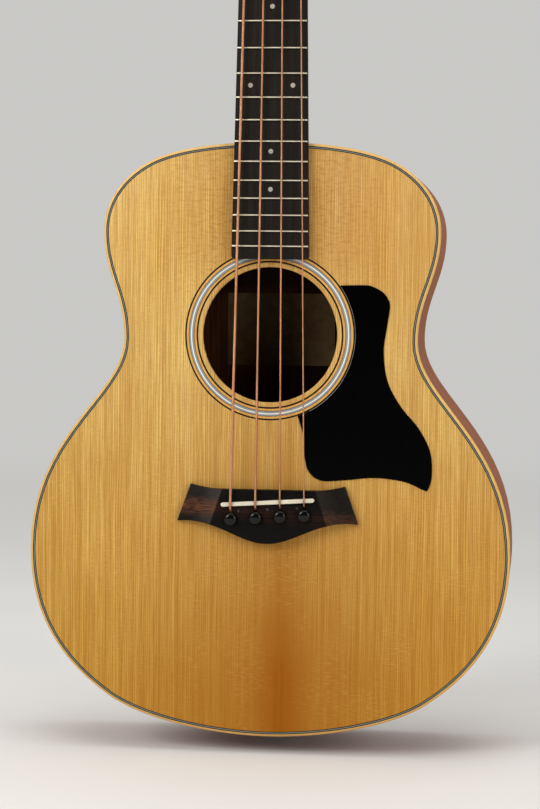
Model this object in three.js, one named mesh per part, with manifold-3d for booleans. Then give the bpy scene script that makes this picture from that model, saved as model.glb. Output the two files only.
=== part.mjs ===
// A short-scale acoustic bass guitar with four strings and a 2 + 2 headstock of open-gear machines.
// Lengths are in millimetres. While it is built, x runs across towards the thin strings, y runs
// along the neck and z comes out of the face, from the scale's end on the soundboard's face.
// The last lines stand the instrument upright, as it hangs in a yoke under its headstock.
import * as THREE from 'three';
import { mergeVertices } from 'three/addons/utils/BufferGeometryUtils.js';
import Module from 'manifold-3d';

// Scale and frets
const scaleLength = 597;
const fretCount = 20;
const joinFret = 14;
const octaveFrets = 12;

// Body outline
const tailLength = 182.6;
const lowerBoutWidth = 364.6;
const waistWidth = 222;
const upperBoutWidth = 254.4;
const lowerBoutHeight = 139.8;
const waistHeight = 300.4;
const upperBoutHeight = 381.4;
const depthAtTail = 110;
const depthAtNeck = 95;
const backArch = 3;
const stepsPerCurve = 6;

// Body shell
const topThickness = 3;
const topEdgeRound = 1.6;
const backThickness = 2.8;
const sideThickness = 2.4;
const liningWidth = 6;
const liningHeight = 13;
const liningWeb = 1.6;
const liningEndGap = 1.2;
const kerfPitch = 44;
const kerfWidth = 2;
const neckBlockWidth = 62;
const neckBlockLength = 52;
const tailBlockWidth = 82;
const tailBlockLength = 19;

// Soundhole and rosette
const soundholeCentreY = 121.7;
const soundholeRadius = 50.8;
const rosetteInnerRadius = 54.3;
const rosetteOuterRadius = 64.2;
const rosetteDepth = 1.4;
const rosetteSides = 36;

// Braces and bridge plate
const braceWidth = 7;
const braceHeight = 12;
const braceTip = 3;
const braceTaperLength = 38;
const braceCrossingY = 45;
const braceAngle = THREE.MathUtils.degToRad(48);
const braceUpperLength = 128;
const braceLowerLength = 200;
const bridgePlateThickness = 2.6;
const bridgePlateTopY = 5;
const bridgePlateBottomY = -37;
const bridgePlateTopWidth = 70;
const bridgePlateBottomWidth = 118;

// Pickguard
const pickguardThickness = 0.8;
const pickguardLeft = 22.1;
const pickguardBottom = 7.2;
const pickguardWidth = 101;
const pickguardHeight = 152.5;
const pickguardRingGap = 0.4;

// Bridge and saddle
const bridgeThickness = 8.5;
const bridgeTopWidth = 116.8;
const bridgeFootWidth = 136.8;
const bridgeTopY = 8.7;
const bridgeWaistY = 5.4;
const bridgeWaistWidth = 76;
const bridgeFootY = -19.3;
const bridgeBellyY = -35;
const bridgeFlatTopWidth = 70.4;
const bridgeFlatFootWidth = 87;
const bridgeWingTip = 3.6;
const saddleLength = 70.7;
const saddleWidth = 3.1;
const saddleProud = 2.4;
const saddleSlotDepth = 5;
const saddleCentreX = 0.8;
const saddleCentreY = -3.75;
const saddleSlant = THREE.MathUtils.degToRad(3.8);
const saddleEdge = 0.6;

// Bridge pins
const pinSetback = 11.2;
const pinHeadRadius = 4.9;
const pinHeadHeight = 4.2;
const pinDomeDrop = 0.4;
const pinCollarRadius = 3.7;
const pinShankRadius = 2.5;
const pinTipRadius = 2;
const pinLength = 23;
const pinSides = 8;

// Fretboard
const boardThickness = 6.4;
const boardEndY = 178.3;
const boardEndClip = 2;
const boardWidthAtNut = 43.2;
const boardWidthAtLastFret = 58;
const boardCamberRadius = 381;
const dotRadius = 2;
const dotDepth = 0.8;
const dotSides = 6;
const octaveDotSpacing = 31.8;
const singleDotFrets = [3, 5, 7, 9, 15, 17];
const crownWidth = 2.6;
const crownHeight = 1.1;
const tangWidth = 0.8;
const tangDepth = 1.8;
const fretSlotGap = 0.1;
const fretEndInset = 0.3;

// Nut
const nutThickness = 5;
const nutRise = 0.7;
const nutStringSpread = 34.6;

// Neck and headstock
const neckDepthAtNut = 15.5;
const neckDepthAtHeel = 18;
const heelLength = 62;
const heelDepth = 88;
const heelFootWidth = 24;
const headTilt = THREE.MathUtils.degToRad(15);
const headLength = 151;
const headThickness = 14.5;
const headWidth = 72;
const headTipWidth = 50;
const yokeDistance = 8;
const neckSteps = 10;

// Truss rod
const trussRadius = 3;
const trussNutRadius = 4;
const trussNutLength = 12;
const trussChannelDepth = 9.2;
const trussHeadGap = 16;
const trussHeelGap = 12;

// Tuning machines
const gearTeeth = 16;
const gearPitchRadius = 8;
const gearThickness = 5;
const wormPitchRadius = 3.2;
const toothAddendum = 0.7;
const toothDedendum = 0.9;
const toothThicknessShare = 0.42;
const flankAngle = THREE.MathUtils.degToRad(20);
const wormTurns = 4;
const wormColumns = 8;
const meshGap = 0.1;
const keyShaftRadius = 2;
const keyShaftSides = 10;
const keyShaftEnd = 1.2;
const buttonLength = 17;
const buttonWidth = 21;
const buttonThickness = 6.5;
const buttonEdge = 1.4;
const buttonGap = 7;
const machinePlateThickness = 1.4;
const machinePlateMargin = 3.4;
const earThickness = 2.8;
const earWidth = 8;
const postRadius = 4;
const postTopRadius = 4.8;
const postHeight = 15;
const postRimHeight = 2.2;
const postSides = 10;
const postAcross = 40;
const firstPostY = 42;
const postSpacing = 60;

// Strings, from the thickest to the thinnest
const stringDiameters = [2.1, 1.7, 1.35, 1.1];
const stringNames = ['e', 'a', 'd', 'g'];
const stringSpread = 55.4;
const stringSides = 5;
const stringTurns = 2;
const turnSteps = 10;
const turnGap = 0.25;
const windHeight = 9;
const ballRadius = 2.4;
const ballSides = 8;
const stringDropAhead = 3.9;
const stringDiveAhead = 6.4;
const stringDiveDepth = 3.4;

// End pin
const endPinHeadRadius = 8;
const endPinNeckRadius = 4.4;
const endPinFlangeRadius = 6.4;
const endPinShankRadius = 4;
const endPinReach = 9;
const endPinFlange = 1;
const endPinHeadThickness = 1.8;
const endPinShankLength = 19;
const endPinSides = 14;

// Fits
const glueLine = 0.05;
const restGap = 0.3;
const runningGap = 0.25;
const overrun = 2;

// Shares that shape curves, each of the size named beside it
const lowerShoulderShare = { x: 0.664, y: 0.198, rise: 0.8862 };
const upperShoulderShare = { x: 0.73, y: 0.777, rise: 1.01595 };
const handleShares = [[0.352, 0.244], [0.402, 0.365], [0.5, 0.245], [0.401, 0.396], [0.384, 0.347],
  [0.254, 0.355]];
const archShares = [0.5, 1];
const archCentreShare = 0.45;
const camberShares = [-1, -0.5, 0, 0.5, 1];
const pickguardShares = [[0.493, 1], [0.556, 0.99], [0.62, 0.966], [0.66, 0.932], [0.673, 0.89],
  [0.65, 0.785], [0.631, 0.675], [0.662, 0.533], [0.76, 0.411], [0.896, 0.304], [0.984, 0.191],
  [1, 0.073], [0.973, 0.005], [0.94, 0.001], [0.794, 0.04], [0.576, 0.056], [0.359, 0.042],
  [0.179, 0.037], [0.089, 0.077], [0.055, 0.144], [0.042, 0.254], [0.007, 0.334]];
const pickguardStartShare = [0.302, 0.999];
const bellyShares = { near: 0.32, far: 0.555, rise: 1.24 };
const bridgeHollowShare = 0.63;
const crownShoulderShare = 0.28;
const postCrownShare = 0.8;
const heelShares = [[0, 1], [0.14, 1], [0.22, 0.9], [0.31, 0.62], [0.43, 0.36], [0.6, 0.16], [0.8, 0.04],
  [1, 0]];
const roundSectionShare = 1;
const heelSectionShare = 0.55;
const headSectionShare = 0.12;
const wormFadeShare = 0.35;
const headOutlineShares = [[0.07, 0.12], [0.16, 0.62], [0.26, 0.96], [0.42, 1], [0.74, 0.93],
  [0.93, 0.78]];

// The library that joins and cuts solids
const wasm = await Module();
wasm.setup();

// Welds a geometry's shared corners, drops flat triangles and turns its faces outwards
function tidySolid(geometry) {
  const bare = new THREE.BufferGeometry();
  bare.setAttribute('position', geometry.getAttribute('position').clone());
  if (geometry.index) bare.setIndex(geometry.index.clone());
  const welded = mergeVertices(bare);
  const corners = welded.index.array;
  const kept = [];
  for (let i = 0; i < corners.length; i += 3) {
    const [a, b, c] = [corners[i], corners[i + 1], corners[i + 2]];
    if (a !== b && b !== c && c !== a) kept.push(a, b, c);
  }
  welded.setIndex(kept);
  if (signedVolume(welded) < 0) flipFaces(welded);
  return welded;
}

function signedVolume(geometry) {
  const places = geometry.getAttribute('position');
  const corners = geometry.index.array;
  const [a, b, c] = [new THREE.Vector3(), new THREE.Vector3(), new THREE.Vector3()];
  let total = 0;
  for (let i = 0; i < corners.length; i += 3) {
    a.fromBufferAttribute(places, corners[i]);
    b.fromBufferAttribute(places, corners[i + 1]);
    c.fromBufferAttribute(places, corners[i + 2]);
    total += a.dot(b.cross(c));
  }
  return total;
}

function flipFaces(geometry) {
  const corners = geometry.index.array;
  for (let i = 0; i < corners.length; i += 3) {
    [corners[i + 1], corners[i + 2]] = [corners[i + 2], corners[i + 1]];
  }
}

function toSolid(geometry) {
  const tidy = tidySolid(geometry);
  return new wasm.Manifold(new wasm.Mesh({
    numProp: 3,
    vertProperties: new Float32Array(tidy.getAttribute('position').array),
    triVerts: new Uint32Array(tidy.index.array),
  }));
}

function toGeometry(solid) {
  const mesh = solid.getMesh();
  const geometry = new THREE.BufferGeometry();
  geometry.setAttribute('position', new THREE.BufferAttribute(new Float32Array(mesh.vertProperties), 3));
  geometry.setIndex(new THREE.BufferAttribute(new Uint32Array(mesh.triVerts), 1));
  return geometry;
}

function join(...geometries) {
  const [first, ...others] = geometries.map(toSolid);
  return toGeometry(others.reduce((whole, other) => whole.add(other), first));
}

function cut(geometry, ...tools) {
  return toGeometry(tools.map(toSolid).reduce((whole, tool) => whole.subtract(tool), toSolid(geometry)));
}

// Skins a row of rings that have the same number of points; an open row gets a cap at each end
function loft(rings, closed = false) {
  const count = rings[0].length;
  const places = rings.flat().flatMap((point) => [point.x, point.y, point.z]);
  const corners = [];
  const bands = closed ? rings.length : rings.length - 1;
  for (let band = 0; band < bands; band += 1) {
    const here = band * count;
    const next = ((band + 1) % rings.length) * count;
    for (let i = 0; i < count; i += 1) {
      const j = (i + 1) % count;
      corners.push(here + i, here + j, next + j, here + i, next + j, next + i);
    }
  }
  if (!closed) {
    const last = (rings.length - 1) * count;
    for (const [a, b, c] of capTriangles(rings[0])) corners.push(c, b, a);
    const lastCap = capTriangles(rings[rings.length - 1]);
    for (const [a, b, c] of lastCap) corners.push(last + a, last + b, last + c);
  }
  const geometry = new THREE.BufferGeometry();
  geometry.setAttribute('position', new THREE.Float32BufferAttribute(places, 3));
  geometry.setIndex(corners);
  return geometry;
}

// Fills a flat ring, seen along its own normal so that the triangles keep the ring's turn
function capTriangles(ring) {
  const normal = new THREE.Vector3();
  const turn = new THREE.Vector3();
  ring.forEach((point, i) => normal.add(turn.crossVectors(point, ring[(i + 1) % ring.length])));
  const across = new THREE.Vector3().subVectors(ring[1], ring[0]).normalize();
  const along = new THREE.Vector3().crossVectors(normal.normalize(), across);
  const flat = ring.map((point) => new THREE.Vector2(point.dot(across), point.dot(along)));
  return THREE.ShapeUtils.triangulateShape(flat, []);
}

function polygon(points) {
  return new THREE.Shape(points.map(([x, y]) => new THREE.Vector2(x, y)));
}

function prism(shape, low, high, curveSegments = stepsPerCurve) {
  const settings = { depth: high - low, bevelEnabled: false, curveSegments };
  const geometry = new THREE.ExtrudeGeometry(shape, settings);
  return geometry.translate(0, 0, low);
}

function turned(profile, sides) {
  return new THREE.LatheGeometry(profile.map(([r, y]) => new THREE.Vector2(r, y)), sides);
}

function drill(radius, low, high, sides, x, y) {
  const geometry = new THREE.CylinderGeometry(radius, radius, high - low, sides);
  return geometry.rotateX(Math.PI / 2).translate(x, y, (low + high) / 2);
}

function block(lowX, highX, lowY, highY, lowZ, highZ) {
  const geometry = new THREE.BoxGeometry(highX - lowX, highY - lowY, highZ - lowZ);
  return geometry.translate((lowX + highX) / 2, (lowY + highY) / 2, (lowZ + highZ) / 2);
}

// A route through stops, with one step from each stop to the next
class Route extends THREE.Curve {
  constructor(stops) {
    super();
    this.stops = stops;
  }

  getPoint(share, target = new THREE.Vector3()) {
    const along = share * (this.stops.length - 1);
    const before = Math.min(Math.floor(along), this.stops.length - 2);
    return target.lerpVectors(this.stops[before], this.stops[before + 1], along - before);
  }

  getPointAt(share, target) {
    return this.getPoint(share, target);
  }

  getTangentAt(share, target) {
    return this.getTangent(share, target);
  }
}

function tubeAlong(stops, radius, sides) {
  const ring = [];
  for (let i = 0; i < sides; i += 1) {
    const angle = (Math.PI * 2 * i) / sides;
    ring.push([radius * Math.cos(angle), radius * Math.sin(angle)]);
  }
  const settings = { steps: stops.length - 1, extrudePath: new Route(stops), bevelEnabled: false };
  return new THREE.ExtrudeGeometry(polygon(ring), settings);
}

// Places along the neck
function fretPlace(fret) {
  return scaleLength * 2 ** (-fret / octaveFrets);
}

const tailY = -tailLength;
const neckEndY = fretPlace(joinFret);
const headStartY = scaleLength + nutThickness;

// Depth of the body at a place along it, and the inner face of its back at the edge
function depthAt(y) {
  return depthAtTail + ((depthAtNeck - depthAtTail) * (y - tailY)) / (neckEndY - tailY);
}

function backInside(y) {
  return backThickness - depthAt(y);
}

// The right half of the outline is a chain of curves from the tail to the neck end
function outlineKnots() {
  const lowerY = tailY + lowerBoutHeight;
  const upperY = tailY + upperBoutHeight;
  const up = Math.PI / 2;
  const lowerRise = lowerShoulderShare.rise * lowerBoutHeight;
  const upperRise = upperShoulderShare.rise * (neckEndY - upperY);
  return [
    { x: 0, y: tailY, heading: 0 },
    {
      x: (lowerShoulderShare.x * lowerBoutWidth) / 2,
      y: tailY + lowerShoulderShare.y * lowerBoutHeight,
      heading: Math.atan2(lowerRise, lowerBoutWidth / 2),
    },
    { x: lowerBoutWidth / 2, y: lowerY, heading: up },
    { x: waistWidth / 2, y: tailY + waistHeight, heading: up },
    { x: upperBoutWidth / 2, y: upperY, heading: up },
    {
      x: (upperShoulderShare.x * upperBoutWidth) / 2,
      y: upperY + upperShoulderShare.y * (neckEndY - upperY),
      heading: Math.atan2(upperRise, -upperBoutWidth / 2),
    },
    { x: 0, y: neckEndY, heading: Math.PI },
  ];
}

function outlineCurves() {
  const knots = outlineKnots();
  return handleShares.map(([leave, arrive], i) => {
    const start = new THREE.Vector2(knots[i].x, knots[i].y);
    const end = new THREE.Vector2(knots[i + 1].x, knots[i + 1].y);
    const chord = start.distanceTo(end);
    const out = new THREE.Vector2(Math.cos(knots[i].heading), Math.sin(knots[i].heading));
    const back = new THREE.Vector2(Math.cos(knots[i + 1].heading), Math.sin(knots[i + 1].heading));
    const first = start.clone().addScaledVector(out, leave * chord);
    const second = end.clone().addScaledVector(back, -arrive * chord);
    return new THREE.CubicBezierCurve(start, first, second, end);
  });
}

const bodyCurves = outlineCurves();

// Points of the right half, from the tail up, set in from the edge; distances run round the edge
function halfOutline(inset, steps = stepsPerCurve) {
  const points = [];
  let distance = 0;
  let before = null;
  bodyCurves.forEach((curve, index) => {
    for (let step = index === 0 ? 0 : 1; step <= steps; step += 1) {
      const edge = curve.getPoint(step / steps);
      const heading = curve.getTangent(step / steps);
      if (before) distance += before.distanceTo(edge);
      before = edge;
      points.push({ x: edge.x - heading.y * inset, y: edge.y + heading.x * inset, distance });
    }
  });
  points[0].x = 0;
  points[points.length - 1].x = 0;
  return points;
}

function bodyRing(inset, height) {
  const right = halfOutline(inset);
  const left = right.slice(1, -1).reverse();
  const place = (x, y) => new THREE.Vector3(x, y, height(x, y));
  const mirrored = left.map((point) => place(-point.x, point.y));
  return [...right.map((point) => place(point.x, point.y)), ...mirrored];
}

// A point of the right half at a distance round the edge from the tail
function rimPoint(distance, inset) {
  const points = halfOutline(inset);
  const after = Math.max(1, points.findIndex((point) => point.distance >= distance));
  const [a, b] = [points[after - 1], points[after]];
  const share = (distance - a.distance) / (b.distance - a.distance);
  return [THREE.MathUtils.lerp(a.x, b.x, share), THREE.MathUtils.lerp(a.y, b.y, share)];
}

const rimLength = halfOutline(0).at(-1).distance;

// Soundboard, with a rounded edge, the soundhole and the rosette's channel
function makeSoundboard() {
  const edge = bodyRing(0, () => 0);
  const hole = edge.map((point) => {
    const angle = Math.atan2(point.y - soundholeCentreY, point.x);
    return { x: soundholeRadius * Math.cos(angle), y: soundholeCentreY + soundholeRadius * Math.sin(angle) };
  });
  const holeRing = (z) => hole.map((point) => new THREE.Vector3(point.x, point.y, z));
  const rings = [
    bodyRing(0, () => -topThickness),
    bodyRing(0, () => -topEdgeRound),
    bodyRing(topEdgeRound * (1 - Math.SQRT1_2), () => -topEdgeRound * (1 - Math.SQRT1_2)),
    bodyRing(topEdgeRound, () => 0),
    holeRing(0),
    holeRing(-topThickness),
  ];
  return cut(loft(rings, true), ringTool(restGap), ...stringPassages(), ...pinPassages());
}

// The rosette's channel, wider than the ring by a gap on each side
function ringTool(gap) {
  const floor = -rosetteDepth - gap;
  const profile = [
    [rosetteInnerRadius - gap, floor],
    [rosetteOuterRadius + gap, floor],
    [rosetteOuterRadius + gap, overrun],
    [rosetteInnerRadius - gap, overrun],
    [rosetteInnerRadius - gap, floor],
  ];
  return turned(profile, rosetteSides).rotateX(Math.PI / 2).translate(0, soundholeCentreY, 0);
}

function makeRosette() {
  const profile = [
    [rosetteInnerRadius, -rosetteDepth],
    [rosetteOuterRadius, -rosetteDepth],
    [rosetteOuterRadius, 0],
    [rosetteInnerRadius, 0],
    [rosetteInnerRadius, -rosetteDepth],
  ];
  return turned(profile, rosetteSides).rotateX(Math.PI / 2).translate(0, soundholeCentreY, 0);
}

// Back, pressed to a low arch
function archRing(share, lift) {
  const centreY = THREE.MathUtils.lerp(tailY, neckEndY, archCentreShare);
  const drop = backArch * (1 - share * share);
  return bodyRing(0, () => 0).map((point) => {
    const y = centreY + (point.y - centreY) * share;
    return new THREE.Vector3(point.x * share, y, lift - depthAt(y) - drop);
  });
}

function makeBack() {
  const outside = archShares.map((share) => archRing(share, 0));
  const inside = archShares.map((share) => archRing(share, backThickness)).reverse();
  return loft([...outside, ...inside]);
}

// Bent side, one wall all round with a hole for the end pin
function makeSideRim() {
  const top = () => -topThickness - glueLine;
  const bottom = (x, y) => backInside(y) + glueLine;
  const rings = [
    bodyRing(0, top),
    bodyRing(0, bottom),
    bodyRing(sideThickness, bottom),
    bodyRing(sideThickness, top),
  ];
  return cut(loft(rings, true), endPinTool());
}

// Kerfed lining along one side, cut through to a thin web at even spaces
function liningShape(side) {
  const outer = sideThickness + restGap;
  const inner = outer + liningWidth;
  const start = tailBlockWidth / 2 + liningEndGap;
  const end = rimLength - neckBlockWidth / 2 - liningEndGap;
  const between = (inset, from, to) => halfOutline(inset)
    .filter((point) => point.distance > from && point.distance < to)
    .map((point) => [point.x, point.y]);
  const points = [rimPoint(start, outer), ...between(outer, start, end), rimPoint(end, outer)];
  const innerRun = (from, to) => {
    const run = between(inner, from + kerfWidth / 2, to - kerfWidth / 2);
    points.push(rimPoint(to, inner), ...run.reverse(), rimPoint(from, inner));
  };
  const kerfs = Math.floor((end - start) / kerfPitch);
  let last = end;
  for (let kerf = kerfs; kerf >= 1; kerf -= 1) {
    const middle = start + ((end - start) * (kerf - 1 / 2)) / kerfs;
    innerRun(middle + kerfWidth / 2, last);
    points.push(rimPoint(middle + kerfWidth / 2, outer + liningWeb));
    points.push(rimPoint(middle - kerfWidth / 2, outer + liningWeb));
    last = middle - kerfWidth / 2;
  }
  innerRun(start, last);
  return polygon(points.map(([x, y]) => [x * side, y]));
}

function makeTopLining(side) {
  const top = -topThickness - glueLine;
  return prism(liningShape(side), top - liningHeight, top);
}

function makeBackLining(side) {
  return onBack(prism(liningShape(side), 0, liningHeight), glueLine);
}

// Moves a piece that was made from zero upwards so that it stands on the sloping back
function onBack(geometry, gap) {
  const places = geometry.getAttribute('position');
  for (let i = 0; i < places.count; i += 1) {
    places.setZ(i, places.getZ(i) + backInside(places.getY(i)) + gap);
  }
  return geometry;
}

// A block that fills the depth at one end of the body, its end face bent to the side
function endBlock(width, length, atNeck) {
  const inset = sideThickness + restGap;
  const near = (point) => (atNeck ? rimLength - point.distance : point.distance);
  const within = halfOutline(inset).filter((point) => near(point) < width / 2);
  const arc = within.map((point) => [point.x, point.y]);
  arc.push(rimPoint(atNeck ? rimLength - width / 2 : width / 2, inset));
  if (atNeck) arc.unshift(arc.pop());
  const right = atNeck ? arc : arc.reverse();
  const left = right.slice(0, -1).reverse().map(([x, y]) => [-x, y]);
  const innerY = atNeck ? neckEndY - inset - length : tailY + inset + length;
  const corner = right[0][0];
  const shape = polygon([[corner, innerY], ...right, ...left, [-corner, innerY]]);
  const geometry = prism(shape, 0, 1);
  const places = geometry.getAttribute('position');
  for (let i = 0; i < places.count; i += 1) {
    const foot = backInside(places.getY(i)) + glueLine;
    const head = -topThickness - glueLine;
    places.setZ(i, THREE.MathUtils.lerp(foot, head, places.getZ(i)));
  }
  return geometry;
}

function makeNeckBlock() {
  return endBlock(neckBlockWidth, neckBlockLength, true);
}

function makeTailBlock() {
  return cut(endBlock(tailBlockWidth, tailBlockLength, false), endPinTool());
}

// Crossed braces under the top, thinned towards their ends
function makeXBrace() {
  const arm = (turn) => {
    const shape = polygon([
      [-braceLowerLength, 0],
      [braceUpperLength, 0],
      [braceUpperLength, -braceTip],
      [braceUpperLength - braceTaperLength, -braceHeight],
      [braceTaperLength - braceLowerLength, -braceHeight],
      [-braceLowerLength, -braceTip],
    ]);
    const bar = prism(shape, -braceWidth / 2, braceWidth / 2);
    bar.rotateX(Math.PI / 2).rotateZ(Math.PI / 2 - turn);
    return bar.translate(0, braceCrossingY, -topThickness - glueLine);
  };
  return join(arm(braceAngle), arm(-braceAngle));
}

function makeBridgePlate() {
  const shape = polygon([
    [-bridgePlateBottomWidth / 2, bridgePlateBottomY],
    [bridgePlateBottomWidth / 2, bridgePlateBottomY],
    [bridgePlateTopWidth / 2, bridgePlateTopY],
    [-bridgePlateTopWidth / 2, bridgePlateTopY],
  ]);
  const top = -topThickness - glueLine;
  return cut(prism(shape, top - bridgePlateThickness, top), ...stringPassages(), ...pinPassages());
}

// Pickguard, bounded by the rosette's edge
function makePickguard() {
  const place = ([x, y]) => new THREE.Vector2(
    pickguardLeft + x * pickguardWidth,
    pickguardBottom + y * pickguardHeight,
  );
  const radius = rosetteOuterRadius + pickguardRingGap;
  const angleOf = (point) => Math.atan2(point.y - soundholeCentreY, point.x);
  const [first, last] = [place(pickguardStartShare), place(pickguardShares.at(-1))].map(angleOf);
  const ringPoint = (share) => {
    const angle = THREE.MathUtils.lerp(last, first, share);
    return new THREE.Vector2(radius * Math.cos(angle), soundholeCentreY + radius * Math.sin(angle));
  };
  const free = new THREE.SplineCurve([ringPoint(1), ...pickguardShares.map(place)]);
  const points = free.getPoints(pickguardShares.length * 2);
  const ringSteps = stepsPerCurve * 2;
  for (let step = 0; step < ringSteps; step += 1) points.push(ringPoint(step / ringSteps));
  return prism(new THREE.Shape(points), glueLine, glueLine + pickguardThickness);
}

// Bridge, with a flat middle and wings that slope to thin ends
function bridgeShape() {
  const [topX, footX, waistX] = [bridgeTopWidth / 2, bridgeFootWidth / 2, bridgeWaistWidth / 2];
  const hollowX = THREE.MathUtils.lerp(topX, waistX, bridgeHollowShare);
  const riseY = THREE.MathUtils.lerp(bridgeBellyY, bridgeFootY, bellyShares.rise);
  const shape = new THREE.Shape();
  const [farX, nearX] = [footX * bellyShares.far, footX * bellyShares.near];
  shape.moveTo(-footX, bridgeFootY);
  shape.bezierCurveTo(-farX, riseY, -nearX, bridgeBellyY, 0, bridgeBellyY);
  shape.bezierCurveTo(nearX, bridgeBellyY, farX, riseY, footX, bridgeFootY);
  shape.lineTo(topX, bridgeTopY);
  shape.quadraticCurveTo(hollowX, bridgeWaistY, waistX, bridgeWaistY);
  shape.lineTo(-waistX, bridgeWaistY);
  shape.quadraticCurveTo(-hollowX, bridgeWaistY, -topX, bridgeTopY);
  return shape;
}

// The wedge that is planed off one end of the bridge
function wingTool(side) {
  const inner = new THREE.Vector3((side * bridgeFlatTopWidth) / 2, bridgeWaistY, bridgeThickness);
  const outer = new THREE.Vector3((side * bridgeFlatFootWidth) / 2, bridgeFootY, bridgeThickness);
  const along = new THREE.Vector3().subVectors(outer, inner).normalize();
  const away = new THREE.Vector3(-along.y * side, along.x * side, 0);
  const corner = new THREE.Vector3((side * bridgeFootWidth) / 2, bridgeFootY, bridgeThickness);
  const run = corner.clone().sub(outer).dot(away);
  const slope = (bridgeThickness - bridgeWingTip) / run;
  const reach = bridgeTopWidth / 2;
  const ring = (distance) => {
    const start = inner.clone().addScaledVector(along, distance);
    const far = start.clone().addScaledVector(away, reach);
    const lift = new THREE.Vector3(0, 0, overrun);
    const low = far.clone().sub(new THREE.Vector3(0, 0, slope * reach));
    return [start, low, far.clone().add(lift), start.clone().add(lift)];
  };
  return loft([ring(-reach), ring(reach * 2)]);
}

// A slot's outline with round ends, drawn as a ring at one height
function slotRing(length, width, z) {
  const radius = width / 2;
  const ring = [];
  for (let end = 0; end < 2; end += 1) {
    for (let step = 0; step <= stepsPerCurve; step += 1) {
      const angle = Math.PI * (end - 1 / 2 + step / stepsPerCurve);
      const middle = (end === 0 ? 1 : -1) * (length / 2 - radius);
      ring.push(new THREE.Vector3(middle + radius * Math.cos(angle), radius * Math.sin(angle), z));
    }
  }
  return ring;
}

function atSaddle(geometry) {
  return geometry.rotateZ(saddleSlant).translate(saddleCentreX, saddleCentreY, 0);
}

const saddleTop = bridgeThickness + saddleProud;

function makeSaddle() {
  const inset = saddleEdge * (1 - Math.SQRT1_2) * 2;
  return atSaddle(loft([
    slotRing(saddleLength, saddleWidth, bridgeThickness - saddleSlotDepth + restGap),
    slotRing(saddleLength, saddleWidth, saddleTop - saddleEdge),
    slotRing(saddleLength - inset, saddleWidth - inset, saddleTop - inset / 2),
    slotRing(saddleLength - saddleEdge * 2, saddleWidth - saddleEdge * 2, saddleTop),
  ]));
}

function makeBridge() {
  const slotLength = saddleLength + restGap * 2;
  const slotWidth = saddleWidth + restGap * 2;
  const slot = atSaddle(loft([
    slotRing(slotLength, slotWidth, bridgeThickness - saddleSlotDepth),
    slotRing(slotLength, slotWidth, bridgeThickness + overrun),
  ]));
  const whole = prism(bridgeShape(), glueLine, bridgeThickness);
  return cut(whole, wingTool(1), wingTool(-1), slot, ...stringPassages(), ...pinPassages());
}

// Places of the strings across a spread, with even gaps between them
function stringX(index, spread) {
  const last = stringDiameters.length - 1;
  const taken = (end) => {
    const whole = stringDiameters.slice(0, end + 1).reduce((sum, diameter) => sum + diameter, 0);
    return whole - (stringDiameters[0] + stringDiameters[end]) / 2;
  };
  return taken(index) + ((spread - taken(last)) * index) / last - spread / 2;
}

// Places of the strings over the saddle and of the pins behind it
function bridgeStringX(index) {
  return saddleCentreX + stringX(index, stringSpread);
}

function saddleY(x) {
  return saddleCentreY + (x - saddleCentreX) * Math.tan(saddleSlant);
}

function pinY(x) {
  return saddleY(x) - pinSetback;
}

function pinPassages() {
  const low = -topThickness - bridgePlateThickness - overrun;
  return stringDiameters.map((diameter, index) => {
    const x = bridgeStringX(index);
    return drill(pinShankRadius + restGap, low, bridgeThickness + overrun, pinSides, x, pinY(x));
  });
}

function makePin(index) {
  const x = bridgeStringX(index);
  const profile = [
    [0, -pinLength],
    [pinTipRadius, -pinLength],
    [pinShankRadius, restGap],
    [pinCollarRadius, restGap],
    [pinHeadRadius, pinHeadHeight / 3],
    [pinHeadRadius, pinHeadHeight / 2],
    [pinCollarRadius, pinHeadHeight - pinDomeDrop],
    [0, pinHeadHeight],
  ];
  return turned(profile, pinSides).rotateX(Math.PI / 2).translate(x, pinY(x), bridgeThickness);
}

// Fretboard, with its cambered face, fret slots and shallow dots
function boardHalf(y) {
  const lastFretY = fretPlace(fretCount);
  const share = (y - lastFretY) / (scaleLength - lastFretY);
  return THREE.MathUtils.lerp(boardWidthAtLastFret, boardWidthAtNut, share) / 2;
}

function camberDrop(x) {
  return (x * x) / (2 * boardCamberRadius);
}

function boardRing(y, half) {
  const top = camberShares.map((share) => {
    const x = -share * half;
    return new THREE.Vector3(x, y, boardThickness - camberDrop(x));
  });
  return [new THREE.Vector3(-half, y, glueLine), new THREE.Vector3(half, y, glueLine), ...top];
}

function dotTools() {
  const tools = [];
  const midway = (fret) => (fretPlace(fret) + fretPlace(fret - 1)) / 2;
  const addDot = (x, fret) => {
    const low = boardThickness - camberDrop(x) - dotDepth;
    tools.push(drill(dotRadius, low, boardThickness + overrun, dotSides, x, midway(fret)));
  };
  for (const fret of singleDotFrets) addDot(0, fret);
  addDot(-octaveDotSpacing / 2, octaveFrets);
  addDot(octaveDotSpacing / 2, octaveFrets);
  return tools;
}

function fretSlotTools() {
  const tools = [];
  for (let fret = 1; fret <= fretCount; fret += 1) {
    const y = fretPlace(fret);
    const half = boardHalf(y) + overrun;
    const low = boardThickness - camberDrop(boardHalf(y)) - tangDepth - restGap;
    const reach = tangWidth / 2 + fretSlotGap;
    tools.push(block(-half, half, y - reach, y + reach, low, boardThickness + overrun));
  }
  return tools;
}

function makeFretboard() {
  const rings = [
    boardRing(boardEndY, boardHalf(boardEndY) - boardEndClip),
    boardRing(boardEndY + boardEndClip, boardHalf(boardEndY + boardEndClip)),
    boardRing(scaleLength - restGap, boardHalf(scaleLength)),
  ];
  return cut(loft(rings), ...fretSlotTools(), ...dotTools());
}

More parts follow.
